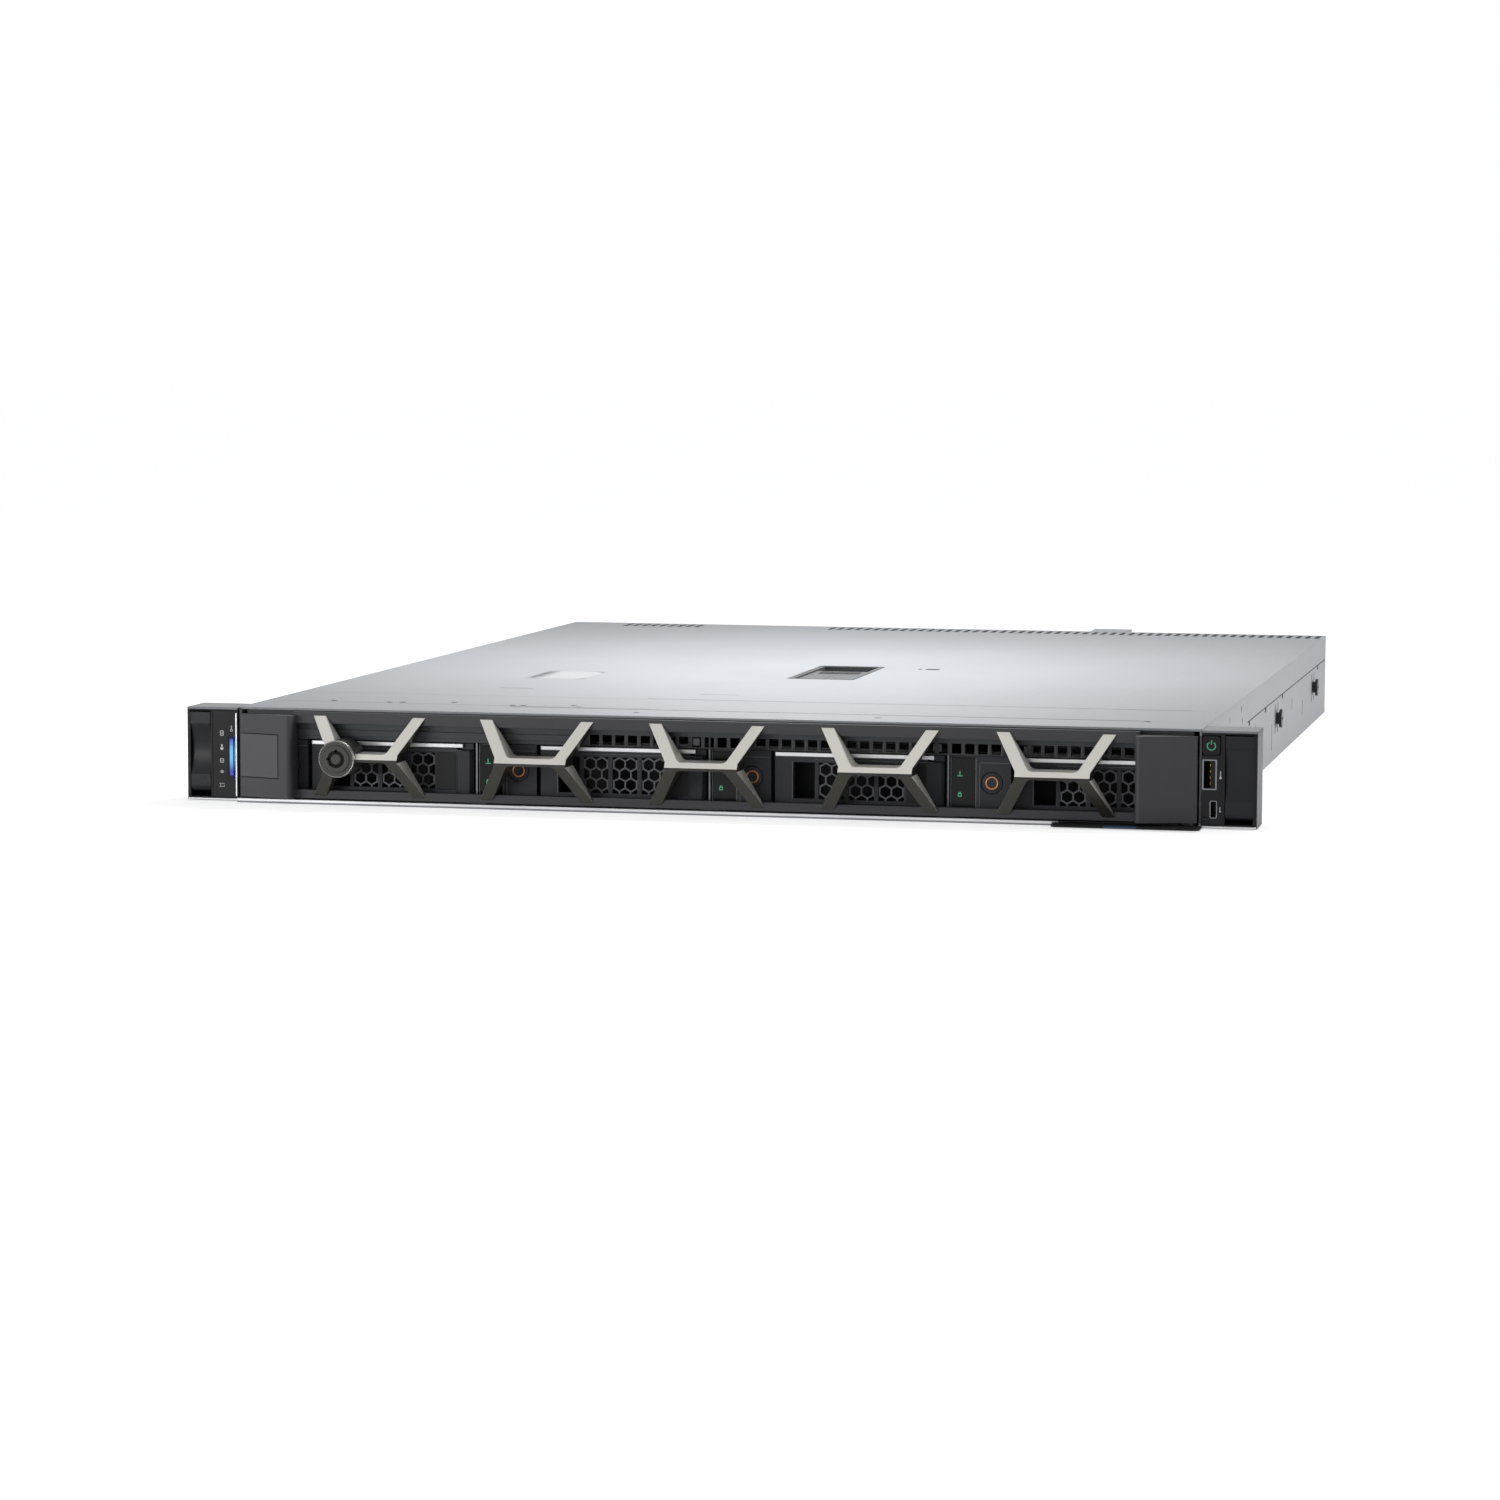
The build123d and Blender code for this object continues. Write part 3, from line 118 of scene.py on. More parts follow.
def sheet_faces(rows: int, columns: int, wrap_rows: bool, wrap_columns: bool) -> np.ndarray:
    """Quads between neighbouring points of a grid.

    Args:
        rows: Number of points along the first parameter.
        columns: Number of points along the second parameter.
        wrap_rows: Whether the last row joins the first.
        wrap_columns: Whether the last column joins the first.

    Returns:
        Array of quads, four point numbers each.
    """
    u = np.arange(rows if wrap_rows else rows - 1)[:, None]
    v = np.arange(columns if wrap_columns else columns - 1)[None, :]
    up, right = (u + 1) % rows, (v + 1) % columns
    corners = (u * columns + v, u * columns + right, up * columns + right, up * columns + v)
    return np.stack(np.broadcast_arrays(*corners), axis=-1).reshape(-1, 4)


def rectangle(
    x: float, z: float, width: float, height: float, corner: float = 0.0, steps: int = 5
) -> np.ndarray:
    """Outline of a rectangle whose corners are quarter circles.

    Each point is the corner's own centre plus corner times (cos t, sin t), with t running over
    a quarter turn at each of the four corners in order.

    Args:
        x: Middle along the outline's first axis.
        z: Middle along its second axis.
        width: Size along the first axis.
        height: Size along the second axis.
        corner: Radius of the corners, or 0 for sharp ones.
        steps: Points on each quarter circle.

    Returns:
        Array of (a, b) points, counter-clockwise.
    """
    signs = np.array([[1, 1], [-1, 1], [-1, -1], [1, -1]], float)
    half = np.array([width, height]) / 2
    if corner <= 0:
        return signs * half + np.array([x, z])
    angles = np.linspace(0, np.pi / 2, steps)[None, :] + np.arange(4)[:, None] * np.pi / 2
    arcs = corner * np.stack([np.cos(angles), np.sin(angles)], axis=-1)
    centres = signs * (half - corner)
    return (centres[:, None, :] + arcs).reshape(-1, 2) + np.array([x, z])


def ring_of(x: float, z: float, radius: float, sides: int = 40, turn: float = 0.0) -> np.ndarray:
    """Outline of a regular many-sided ring: the centre plus radius times (cos t, sin t)."""
    angles = np.linspace(0, 2 * np.pi, sides, endpoint=False) + turn
    return np.stack([x + radius * np.cos(angles), z + radius * np.sin(angles)], axis=-1)


def inset(outline: np.ndarray, distance: float) -> np.ndarray:
    """Outline moved inwards by a distance.

    Each corner moves along the sum of its two edges' inward normals, divided by one plus
    their dot product, which keeps both edges at the same distance from where they were.

    Args:
        outline: Counter-clockwise (a, b) points.
        distance: How far the edges move in; negative moves them out.

    Returns:
        The moved outline, with as many points.
    """
    edge = np.roll(outline, -1, axis=0) - outline
    edge = edge / np.linalg.norm(edge, axis=1, keepdims=True)
    after = np.stack([-edge[:, 1], edge[:, 0]], axis=-1)
    before = np.roll(after, 1, axis=0)
    turn = 1 + np.sum(before * after, axis=1, keepdims=True)
    return outline + distance * (before + after) / turn


def prism(
    outline: np.ndarray, low: float, high: float, facing: Facing, chamfer: float = 0.0
) -> Surface:
    """Solid between two heights, with its far edge chamfered.

    The outline is carried along the facing direction: a ring at the low height, one a chamfer
    short of the high one, and one moved in by the chamfer at the high one, closed by two caps.

    Args:
        outline: Counter-clockwise (a, b) points.
        low: Height of the back.
        high: Height of the face that is seen.
        facing: Direction that the solid faces.
        chamfer: Width of the chamfer round the seen face.

    Returns:
        The closed surface.
    """
    rings = [(outline, low)]
    if chamfer > 0:
        rings += [(outline, high - chamfer), (inset(outline, chamfer), high)]
    else:
        rings += [(outline, high)]
    count = len(outline)
    points = np.vstack([facing.place(ring, height) for ring, height in rings])
    walls = sheet_faces(len(rings), count, False, True)
    caps = np.stack([np.arange(count)[::-1], np.arange(count) + (len(rings) - 1) * count])
    return Surface(points, [walls, caps])


def slab(
    x: float,
    z: float,
    width: float,
    height: float,
    low: float,
    high: float,
    facing: Facing,
    chamfer: float = 0.0,
    corner: float = 0.0,
) -> Surface:
    """Prism on a rectangle; its values are those of rectangle and prism."""
    return prism(rectangle(x, z, width, height, corner), low, high, facing, chamfer)


def band(
    outer: np.ndarray,
    inner: np.ndarray,
    low: float,
    high: float,
    facing: Facing,
    chamfer: float = 0.0,
) -> Surface:
    """Closed frame between two outlines with the same number of points.

    A profile of six corners goes round the frame's section: outer low, outer high, the
    chamfered outer edge, the chamfered inner edge, inner high and inner low.

    Args:
        outer: Outline of the outside.
        inner: Outline of the hole.
        low: Height of the back.
        high: Height of the face that is seen.
        facing: Direction that the frame faces.
        chamfer: Width of the chamfers round the seen face.

    Returns:
        The closed surface.
    """
    loops = [(outer, low), (outer, high - chamfer)]
    if chamfer > 0:
        loops += [(inset(outer, chamfer), high), (inset(inner, -chamfer), high)]
    loops += [(inner, high - chamfer), (inner, low)]
    points = np.vstack([facing.place(loop, height) for loop, height in loops])
    return Surface(points, [sheet_faces(len(loops), len(outer), True, True)])


def turned(
    profile: Sequence[tuple[float, float]],
    x: float,
    z: float,
    facing: Facing,
    sides: int = 40,
    closed: bool = False,
) -> Surface:
    """Surface of revolution about an axis along the facing direction.

    A point is the centre plus radius(v) times (cos u, sin u), at height(v).

    Args:
        profile: Rows of radius and height. A radius of 0 closes an end.
        x: Centre along the outline's first axis.
        z: Centre along its second axis.
        facing: Direction of the axis.
        sides: Steps round the axis.
        closed: Whether the profile's last row joins its first, as in a ring.

    Returns:
        The surface.
    """
    rows = np.array(profile, float)
    angles = np.linspace(0, 2 * np.pi, sides, endpoint=False)
    circle = np.stack([np.cos(angles), np.sin(angles)], axis=-1)
    outline = np.array([x, z]) + rows[:, 0, None, None] * circle[None]
    points = facing.place(outline, rows[:, 1, None]).reshape(-1, 3)
    return Surface(points, [sheet_faces(len(rows), sides, closed, True)])


def tube(path: np.ndarray, radius: float, sides: int = 10, closed: bool = False) -> Surface:
    """Round wire along a path.

    At each point two directions square to the path span a circle: the second is the path's
    direction crossed with a fixed axis, the first is that crossed with the path again.

    Args:
        path: Points of the middle line.
        radius: Radius of the wire.
        sides: Steps round the wire.
        closed: Whether the last point joins the first.

    Returns:
        The surface, with closed ends.
    """
    along = np.roll(path, -1, axis=0) - np.roll(path, 1, axis=0)
    if not closed:
        along[0], along[-1] = path[1] - path[0], path[-1] - path[-2]
    along = along / np.linalg.norm(along, axis=1, keepdims=True)
    spread = np.ptp(path, axis=0)
    axis = np.eye(3)[int(np.argmin(spread))]
    second = np.cross(along, axis)
    second = second / np.linalg.norm(second, axis=1, keepdims=True)
    first = np.cross(second, along)
    angles = np.linspace(0, 2 * np.pi, sides, endpoint=False)[None, :, None]
    circle = np.cos(angles) * first[:, None] + np.sin(angles) * second[:, None]
    points = (path[:, None] + radius * circle).reshape(-1, 3)
    faces = [sheet_faces(len(path), sides, closed, True)]
    if not closed:
        last = (len(path) - 1) * sides
        faces.append(np.stack([np.arange(sides)[::-1], np.arange(sides) + last]))
    return Surface(points, faces)


def cell_plate(
    x_edges: Sequence[float],
    z_edges: Sequence[float],
    solid: np.ndarray,
    low: float,
    high: float,
    facing: Facing,
) -> Surface:
    """Plate made of the solid cells of an uneven grid, with walls only where a cell ends.

    Args:
        x_edges: Grid lines across the plate.
        z_edges: Grid lines up the plate.
        solid: True where a cell is filled, one row for each step up.
        low: Height of the back.
        high: Height of the front.
        facing: Direction that the plate faces.

    Returns:
        The closed surface.
    """
    across, up = np.meshgrid(np.array(x_edges, float), np.array(z_edges, float))
    outline = np.stack([across, up], axis=-1).reshape(-1, 2)
    count, wide = len(outline), len(x_edges)
    points = np.vstack([facing.place(outline, low), facing.place(outline, high)])
    row, column = np.nonzero(solid)
    base = row * wide + column
    corners = np.stack([base, base + 1, base + wide + 1, base + wide], axis=-1)
    faces = [corners[:, ::-1], corners + count]
    padded = np.pad(solid, 1)
    for step_row, step_column, start, end in (
        (-1, 0, 0, 1), (0, 1, 1, 2), (1, 0, 2, 3), (0, -1, 3, 0),
    ):
        open_side = ~padded[row + 1 + step_row, column + 1 + step_column]
        first, second = corners[open_side, start], corners[open_side, end]
        faces.append(np.stack([first, second, second + count, first + count], axis=-1))
    return Surface(points, faces)


def honeycomb(
    x: float,
    z: float,
    width: float,
    height: float,
    pitch: float,
    web: float,
    low: float,
    high: float,
    facing: Facing,
) -> Surface:
    """Web of six-sided cells that stand on a corner, cut off at the edges of a rectangle.

    Cell centres lie on rows a pitch times cos 30 degrees apart, every other row moved by half a
    pitch. Each cell is a frame between its own tile and a smaller hexagon, and points outside
    the rectangle are moved to its edge.

    Args:
        x: Middle along the outline's first axis.
        z: Middle along its second axis.
        width: Size of the rectangle across.
        height: Size of the rectangle up.
        pitch: Distance between cells in a row.
        web: Thickness of the walls between cells.
        low: Height of the back.
        high: Height of the front.
        facing: Direction that the web faces.

    Returns:
        The surface, without walls between neighbouring tiles.
    """
    step = pitch * np.cos(np.pi / 6)
    rows = np.arange(-4, 5)
    centres = [
        (column * pitch + (row % 2) * pitch / 2, row * step)
        for row in rows
        for column in np.arange(-4, 5)
    ]
    spots = np.array(centres)
    limit = np.array([width, height]) / 2
    near = np.all(np.abs(spots) < limit + pitch / 2 - web, axis=1)
    spots = spots[near]
    tile = ring_of(0, 0, pitch / np.sqrt(3), 6, np.pi / 6)
    hole = ring_of(0, 0, (pitch - web) / np.sqrt(3), 6, np.pi / 6)
    middle = np.array([x, z])
    parts = []
    for spot in spots:
        loops = [(hole, low), (tile, low), (tile, high), (hole, high)]
        placed = [np.clip(spot + loop, -limit, limit) + middle for loop, _ in loops]
        points = np.vstack(
            [facing.place(loop, height) for loop, (_, height) in zip(placed, loops)]
        )
        faces = sheet_faces(4, 6, True, True)
        parts.append(Surface(points, [np.delete(faces, slice(6, 12), axis=0)]))
    return joined(parts)


def bowl(
    x: float, y: float, width: float, length: float, level: float, depth: float, rim: float
) -> Surface:
    """Shallow pressed dish on the top face, with rounded corners and a raised rim.

    A point is the middle plus r times a rounded rectangle, and its level is the top, raised by
    a narrow bump where r is near 1, and lowered by depth where r is small, along a smooth step.

    Args:
        x: Middle across.
        y: Middle along.
        width: Size across.
        length: Size along.
        level: Level of the sheet round it.
        depth: Depth of the floor.
        rim: Height of the bump round the edge.

    Returns:
        The open surface.
    """
    ratio = np.linspace(0, 1, 15)
    outline = rectangle(0, 0, width, length, width * 0.36, 9)
    flat = ratio[:, None, None] * outline[None]
    fall = np.clip((ratio - 0.62) / 0.26, 0, 1)
    fall = fall * fall * (3 - 2 * fall)
    bump = rim * np.exp(-(((ratio - 0.93) / 0.05) ** 2))
    heights = level - depth * (1 - fall) + bump
    heights[-1] = level - 0.02
    points = Facing.TOP.place(flat + np.array([x, y]), heights[:, None]).reshape(-1, 3)
    return Surface(points, [sheet_faces(len(ratio), len(outline), False, True)])


# ---------------------------------------------------------------------------------------------
# Node groups and finishes
# ---------------------------------------------------------------------------------------------


def shade(code: str) -> tuple[float, float, float]:
    """Linear colour of a screen colour written as six hexadecimal digits."""
    parts = np.array([int(code[i : i + 2], 16) for i in (0, 2, 4)]) / 255
    linear = np.where(parts <= 0.04045, parts / 12.92, ((parts + 0.055) / 1.055) ** 2.4)
    return tuple(float(v) for v in linear)


class Graph:
    """Short-hand for adding and joining the nodes of one tree."""

    def __init__(self, tree: bpy.types.NodeTree) -> None:
        """Keep the tree that nodes are added to."""
        self.tree = tree

    def add(self, kind: str, settings: dict | None = None, **values: object) -> bpy.types.Node:
        """Add a node.

        Args:
            kind: Type of the node, without its ShaderNode prefix.
            settings: Properties of the node itself.
            **values: Values or sockets for its inputs, named with underscores for spaces.

        Returns:
            The node.
        """
        node = self.tree.nodes.new("ShaderNode" + kind)
        for key, value in (settings or {}).items():
            setattr(node, key, value)
        for key, value in values.items():
            place = int(key[1:]) if key[1:].isdigit() else key.replace("_", " ")
            socket = node.inputs[place]
            if isinstance(value, bpy.types.NodeSocket):
                self.tree.links.new(value, socket)
            else:
                socket.default_value = value
        return node

    def math(self, operation: str, first: object, second: object = 0.0) -> bpy.types.NodeSocket:
        """Result of one operation on two numbers or sockets."""
        return self.add("Math", {"operation": operation}, i0=first, i1=second).outputs[0]

    def step(self, value: object, low: float, high: float) -> bpy.types.NodeSocket:
        """Smooth step of a value from 0 at low to 1 at high."""
        settings = {"interpolation_type": "SMOOTHSTEP"}
        node = self.add("MapRange", settings, Value=value, From_Min=low, From_Max=high)
        return node.outputs[0]

    def blend(self, factor: object, first: object, second: object) -> bpy.types.NodeSocket:
        """Colour between two colours."""
        node = self.tree.nodes.new("ShaderNodeMix")
        node.data_type = "RGBA"
        sockets = (node.inputs[0], node.inputs[6], node.inputs[7])
        for socket, value in zip(sockets, (factor, first, second)):
            if isinstance(value, bpy.types.NodeSocket):
                self.tree.links.new(value, socket)
            else:
                socket.default_value = (*value, 1.0) if isinstance(value, tuple) else value
        return node.outputs[2]


def new_material(name: str) -> tuple[bpy.types.Material, Graph]:
    """A material without nodes, and the graph of its tree."""
    made = bpy.data.materials.new(name)
    made.use_nodes = True
    made.node_tree.nodes.clear()
    return made, Graph(made.node_tree)


def start_group(
    name: str, inputs: dict[str, float], outputs: dict[str, str]
) -> tuple[Graph, bpy.types.Node, bpy.types.Node]:
    """Start a shader node group with named sockets.

    Args:
        name: Name of the group.
        inputs: Names and starting values of its number inputs.
        outputs: Names of its outputs and their socket types.

    Returns:
        The group's graph, its input node and its output node.
    """
    tree = bpy.data.node_groups.new(name, "ShaderNodeTree")
    for label, value in inputs.items():
        socket = tree.interface.new_socket(label, in_out="INPUT", socket_type="NodeSocketFloat")
        socket.default_value = value
    for label, kind in outputs.items():
        tree.interface.new_socket(label, in_out="OUTPUT", socket_type=kind)
    entry = tree.nodes.new("NodeGroupInput")
    exit_node = tree.nodes.new("NodeGroupOutput")
    return Graph(tree), entry, exit_node


def edge_wear_group() -> bpy.types.NodeTree:
    """Group that finds rounded edges and where they are rubbed.

    The normal of a small bevel differs from the face's own normal near an edge, and one minus
    their dot product, broken up by noise, is the mask.

    Returns:
        The group, with outputs Mask and Normal.
    """
    made = bpy.data.node_groups.get("edge_wear")
    if made:
        return made
    inputs = {"Radius": 0.0004, "Strength": 1.0, "Patches": 260.0}
    graph, entry, end = start_group(
        "edge_wear", inputs, {"Mask": "NodeSocketFloat", "Normal": "NodeSocketVector"}
    )
    bevel = graph.add("Bevel", {"samples": 4}, Radius=entry.outputs["Radius"])
    face = graph.add("NewGeometry")
    dot = graph.add(
        "VectorMath", {"operation": "DOT_PRODUCT"}, i0=bevel.outputs[0], i1=face.outputs["Normal"]
    )
    edge = graph.step(graph.math("SUBTRACT", 1.0, dot.outputs["Value"]), 0.02, 0.22)
    place = graph.add("TexCoord")
    noise = graph.add(
        "TexNoise", Vector=place.outputs["Object"], Scale=entry.outputs["Patches"], Detail=3.0
    )
    broken = graph.step(noise.outputs[0], 0.38, 0.62)
    rubbed = graph.math("MULTIPLY", graph.math("MULTIPLY", edge, broken), entry.outputs["Strength"])
    graph.tree.links.new(rubbed, end.inputs["Mask"])
    graph.tree.links.new(bevel.outputs[0], end.inputs["Normal"])
    return graph.tree


def grain_group() -> bpy.types.NodeTree:
    """Group for a fine surface grain that may be drawn out along one axis.

    Two noises are added, one fine and one a third as fine, on coordinates stretched by the
    given amount along each axis.

    Returns:
        The group, with outputs Height and Variation.
    """
    made = bpy.data.node_groups.get("grain")
    if made:
        return made
    inputs = {"Scale": 2500.0, "Stretch X": 1.0, "Stretch Y": 1.0, "Stretch Z": 1.0}
    outputs = {"Height": "NodeSocketFloat", "Variation": "NodeSocketFloat"}
    graph, entry, end = start_group("grain", inputs, outputs)
    place = graph.add("TexCoord")
    stretch = graph.add(
        "CombineXYZ",
        X=entry.outputs["Stretch X"],
        Y=entry.outputs["Stretch Y"],
        Z=entry.outputs["Stretch Z"],
    )
    spread = graph.add(
        "VectorMath",
        {"operation": "MULTIPLY"},
        i0=place.outputs["Object"],
        i1=stretch.outputs[0],
    )
    fine = graph.add(
        "TexNoise", Vector=spread.outputs[0], Scale=entry.outputs["Scale"], Detail=2.0
    )
    third = graph.math("DIVIDE", entry.outputs["Scale"], 3.1)
    coarse = graph.add("TexNoise", Vector=spread.outputs[0], Scale=third, Detail=3.0)
    total = graph.math(
        "ADD",
        graph.math("MULTIPLY", fine.outputs[0], 0.6),
        graph.math("MULTIPLY", coarse.outputs[0], 0.4),
    )
    graph.tree.links.new(total, end.inputs["Height"])
    graph.tree.links.new(coarse.outputs[0], end.inputs["Variation"])
    return graph.tree


def handling_group() -> bpy.types.NodeTree:
    """Group for broad, faint marks of handling: slow noise with a few softer smudges.

    Returns:
        The group, with output Value between about 0 and 1.
    """
    made = bpy.data.node_groups.get("handling")
    if made:
        return made
    graph, entry, end = start_group("handling", {"Scale": 14.0}, {"Value": "NodeSocketFloat"})
    place = graph.add("TexCoord")
    noise = graph.add(
        "TexNoise",
        Vector=place.outputs["Object"],
        Scale=entry.outputs["Scale"],
        Detail=5.0,
        Roughness=0.55,
        Distortion=0.4,
    )
    graph.tree.links.new(graph.step(noise.outputs[0], 0.3, 0.7), end.inputs["Value"])
    return graph.tree


class Grain(Enum):
    """How a surface grain is drawn out along X, Y and Z."""

    EVEN = (1.0, 1.0, 1.0)
    ROLLED = (1.0, 0.06, 1.0)
    ACROSS = (0.06, 1.0, 1.0)


_materials: dict[str, bpy.types.Material] = {}


@dataclass(frozen=True)
class Finish:
    """A solid finish with grain, rubbed edges and handling marks."""

    name: str
    colour: tuple[float, float, float]
    rubbed: tuple[float, float, float]
    metallic: float = 0.0
    roughness: float = 0.5
    roughness_spread: float = 0.12
    colour_spread: float = 0.08
    grain: Grain = Grain.EVEN
    grain_scale: float = 2500.0
    grain_depth: float = 0.00002
    grain_strength: float = 0.25
    wear: float = 0.6
    edge_radius: float = 0.0003
    specular: float = 0.5
    coat: float = 0.0

    def colour_socket(self, graph: Graph, marks: bpy.types.NodeSocket) -> bpy.types.NodeSocket:
        """Colour before wear: the plain colour, a little darker where the marks are strong."""
        darker = tuple(v * (1 - self.colour_spread) for v in self.colour)
        lighter = tuple(min(1.0, v * (1 + self.colour_spread)) for v in self.colour)
        return graph.blend(marks, darker, lighter)

    def material(self) -> bpy.types.Material:
        """The material of this finish, made once."""
        if self.name in _materials:
            return _materials[self.name]
        made, graph = new_material(self.name)
        marks = graph.add("Group", {"node_tree": handling_group()}).outputs["Value"]
        grain = graph.add("Group", {"node_tree": grain_group()}, Scale=self.grain_scale)
        for axis, value in zip("XYZ", self.grain.value):
            grain.inputs["Stretch " + axis].default_value = value
        wear = graph.add(
            "Group", {"node_tree": edge_wear_group()}, Radius=self.edge_radius, Strength=self.wear
        )
        colour = graph.blend(wear.outputs["Mask"], self.colour_socket(graph, marks), self.rubbed)
        broad = graph.math("MULTIPLY", marks, self.roughness_spread)
        fine = graph.math("MULTIPLY", grain.outputs["Variation"], self.roughness_spread)
        rough = graph.math(
            "ADD", graph.math("ADD", broad, fine), self.roughness - self.roughness_spread
        )
        bump = graph.add(
            "Bump",
            Strength=self.grain_strength,
            Distance=self.grain_depth,
            Height=grain.outputs["Height"],
            Normal=wear.outputs["Normal"],
        )
        shader = graph.add(
            "BsdfPrincipled",
            Base_Color=colour,
            Metallic=self.metallic,
            Roughness=rough,
            Normal=bump.outputs[0],
        )
        shader.inputs["Specular IOR Level"].default_value = self.specular
        shader.inputs["Coat Weight"].default_value = self.coat
        graph.add("OutputMaterial", Surface=shader.outputs[0])
        _materials[self.name] = made
        return made


@dataclass(frozen=True)
class TwoTone(Finish):
    """A finish whose colour changes along one axis of the object, or with the way a face looks."""

    second: tuple[float, float, float] = (0.0, 0.0, 0.0)
    axis: str = "Z"
    by_normal: bool = False
    low: float = 0.0
    high: float = 0.001

    def colour_socket(self, graph: Graph, marks: bpy.types.NodeSocket) -> bpy.types.NodeSocket:
        """Second colour below the low value, the finish's own above the high one."""
        if self.by_normal:
            source = graph.add("TexCoord").outputs["Normal"]
        else:
            source = graph.add("TexCoord").outputs["Object"]
        part = graph.add("SeparateXYZ", Vector=source).outputs[self.axis]
        above = super().colour_socket(graph, marks)
        return graph.blend(graph.step(part, self.low, self.high), self.second, above)


@dataclass(frozen=True)
class LitAndShadedTone(TwoTone):
    """Two tones, with a third on faces that look sharply down: painted shade on the underside."""

    third: tuple[float, float, float] = (0.0, 0.0, 0.0)
    below: float = -0.3

    def colour_socket(self, graph: Graph, marks: bpy.types.NodeSocket) -> bpy.types.NodeSocket:
        """Third colour, painted shade, where the normal's Z is under the lowest value, else the two
        tones.
        """
        source = graph.add("TexCoord").outputs["Normal"]
        part = graph.add("SeparateXYZ", Vector=source).outputs["Z"]
        above = super().colour_socket(graph, marks)
        return graph.blend(graph.step(part, self.below - SINK, self.below), self.third, above)


@dataclass(frozen=True)
class Glow:
    """A lit mark or light guide, with a colour that changes away from its middle."""

    name: str
    core: tuple[float, float, float]
    ends: tuple[float, float, float]
    middle: float = 0.0
    reach: float = 0.01
    strength: float = 1.0
    base: tuple[float, float, float] = (0.02, 0.02, 0.02)

    def material(self) -> bpy.types.Material:
        """The material of this glow, made once."""
        if self.name in _materials:
            return _materials[self.name]
        made, graph = new_material(self.name)
        place = graph.add("TexCoord")
        up = graph.add("SeparateXYZ", Vector=place.outputs["Object"]).outputs["Z"]
        away = graph.math("ABSOLUTE", graph.math("SUBTRACT", up, self.middle))
        fade = graph.step(away, 0.15 * self.reach, self.reach)
        colour = graph.blend(fade, self.core, self.ends)
        grain = graph.add("Group", {"node_tree": grain_group()}, Scale=1800.0)
        bump = graph.add("Bump", Strength=0.15, Distance=0.00002, Height=grain.outputs["Height"])
        shader = graph.add(
            "BsdfPrincipled",
            Base_Color=(*self.base, 1.0),
            Roughness=0.35,
            Emission_Color=colour,
            Emission_Strength=self.strength,
            Normal=bump.outputs[0],
        )
        graph.add("OutputMaterial", Surface=shader.outputs[0])
        _materials[self.name] = made
        return made


@dataclass(frozen=True)
class BoardFinish:
    """Solder mask over copper tracks, with pale pads."""

    name: str = "board"
    mask: tuple[float, float, float] = (0.012, 0.085, 0.030)
    track: tuple[float, float, float] = (0.03, 0.17, 0.06)
    pad: tuple[float, float, float] = (0.62, 0.55, 0.34)

    def material(self) -> bpy.types.Material:
        """The material of the boards, made once: tracks are the cell edges of a blocky noise."""
        if self.name in _materials:
            return _materials[self.name]
        made, graph = new_material(self.name)
        place = graph.add("TexCoord").outputs["Object"]
        cells = graph.add(
            "TexVoronoi",
            {"feature": "DISTANCE_TO_EDGE"},
            Vector=place,
            Scale=170.0,
            Randomness=0.75
        )
        tracks = graph.step(cells.outputs["Distance"], 0.10, 0.05)
        dots = graph.add("TexVoronoi", Vector=place, Scale=210.0, Randomness=0.6)
        pads = graph.step(dots.outputs["Distance"], 0.20, 0.14)
        broad = graph.add("TexNoise", Vector=place, Scale=22.0, Detail=2.0)
        placed = graph.math("MULTIPLY", pads, graph.step(broad.outputs[0], 0.52, 0.6))
        colour = graph.blend(placed, graph.blend(tracks, self.mask, self.track), self.pad)
        level = graph.math("ADD", graph.math("MULTIPLY", tracks, 0.5), placed)
        bump = graph.add("Bump", Strength=0.4, Distance=0.00004, Height=level)
        rough = graph.math("MULTIPLY_ADD", placed, -0.12)
        rough.node.inputs[2].default_value = 0.42
        shader = graph.add(
            "BsdfPrincipled",
            Base_Color=colour,
            Metallic=graph.math("MULTIPLY", placed, 0.9),
            Roughness=rough,
            Normal=bump.outputs[0],
        )
        graph.add("OutputMaterial", Surface=shader.outputs[0])
        _materials[self.name] = made
        return made


GALVANISED = Finish(
    name="galvanised_sheet", colour=shade("989A9E"), rubbed=shade("B4B4B7"), metallic=0.2,
    roughness=0.58, roughness_spread=0.08, colour_spread=0.03, grain=Grain.ROLLED,
    grain_scale=1500.0, grain_strength=0.12, wear=0.3, edge_radius=0.0004, specular=0.2,
)
# Painted shade along the dish's left edge: fully dark left of X = -134.5 mm, fading out by -128.5
# mm.
SHADED_DISH_STEEL = TwoTone(
    name="dish_steel_painted_shade", colour=shade("A4A5A8"), second=shade("5F6063"), rubbed=shade("D4D4D6"),
    axis="X", low=-0.1345, high=-0.1285, metallic=0.2, grain=Grain.ROLLED, grain_scale=1500.0,
    wear=0.2, specular=0.2,
)
EDGE_STEEL = Finish(
    name="edge_steel", colour=shade("CFCFD1"), rubbed=shade("F4F4F4"), metallic=0.7,
    roughness=0.34, grain=Grain.ACROSS, grain_scale=1800.0, wear=0.4,
)
CAGE = TwoTone(
    name="cage_sheet", colour=shade("3A3B3D"), second=shade("6E6F72"), rubbed=shade("7A7B7E"),
    low=0.0288, high=0.0290, metallic=0.6, roughness=0.45, wear=0.5, specular=0.2,
)
BEZEL_PLASTIC = Finish(
    name="bezel_plastic", colour=shade("3E3E41"), rubbed=shade("5A5A5C"), grain_scale=4200.0,
    grain_strength=0.3, wear=0.35, edge_radius=0.0005, specular=0.3,
)
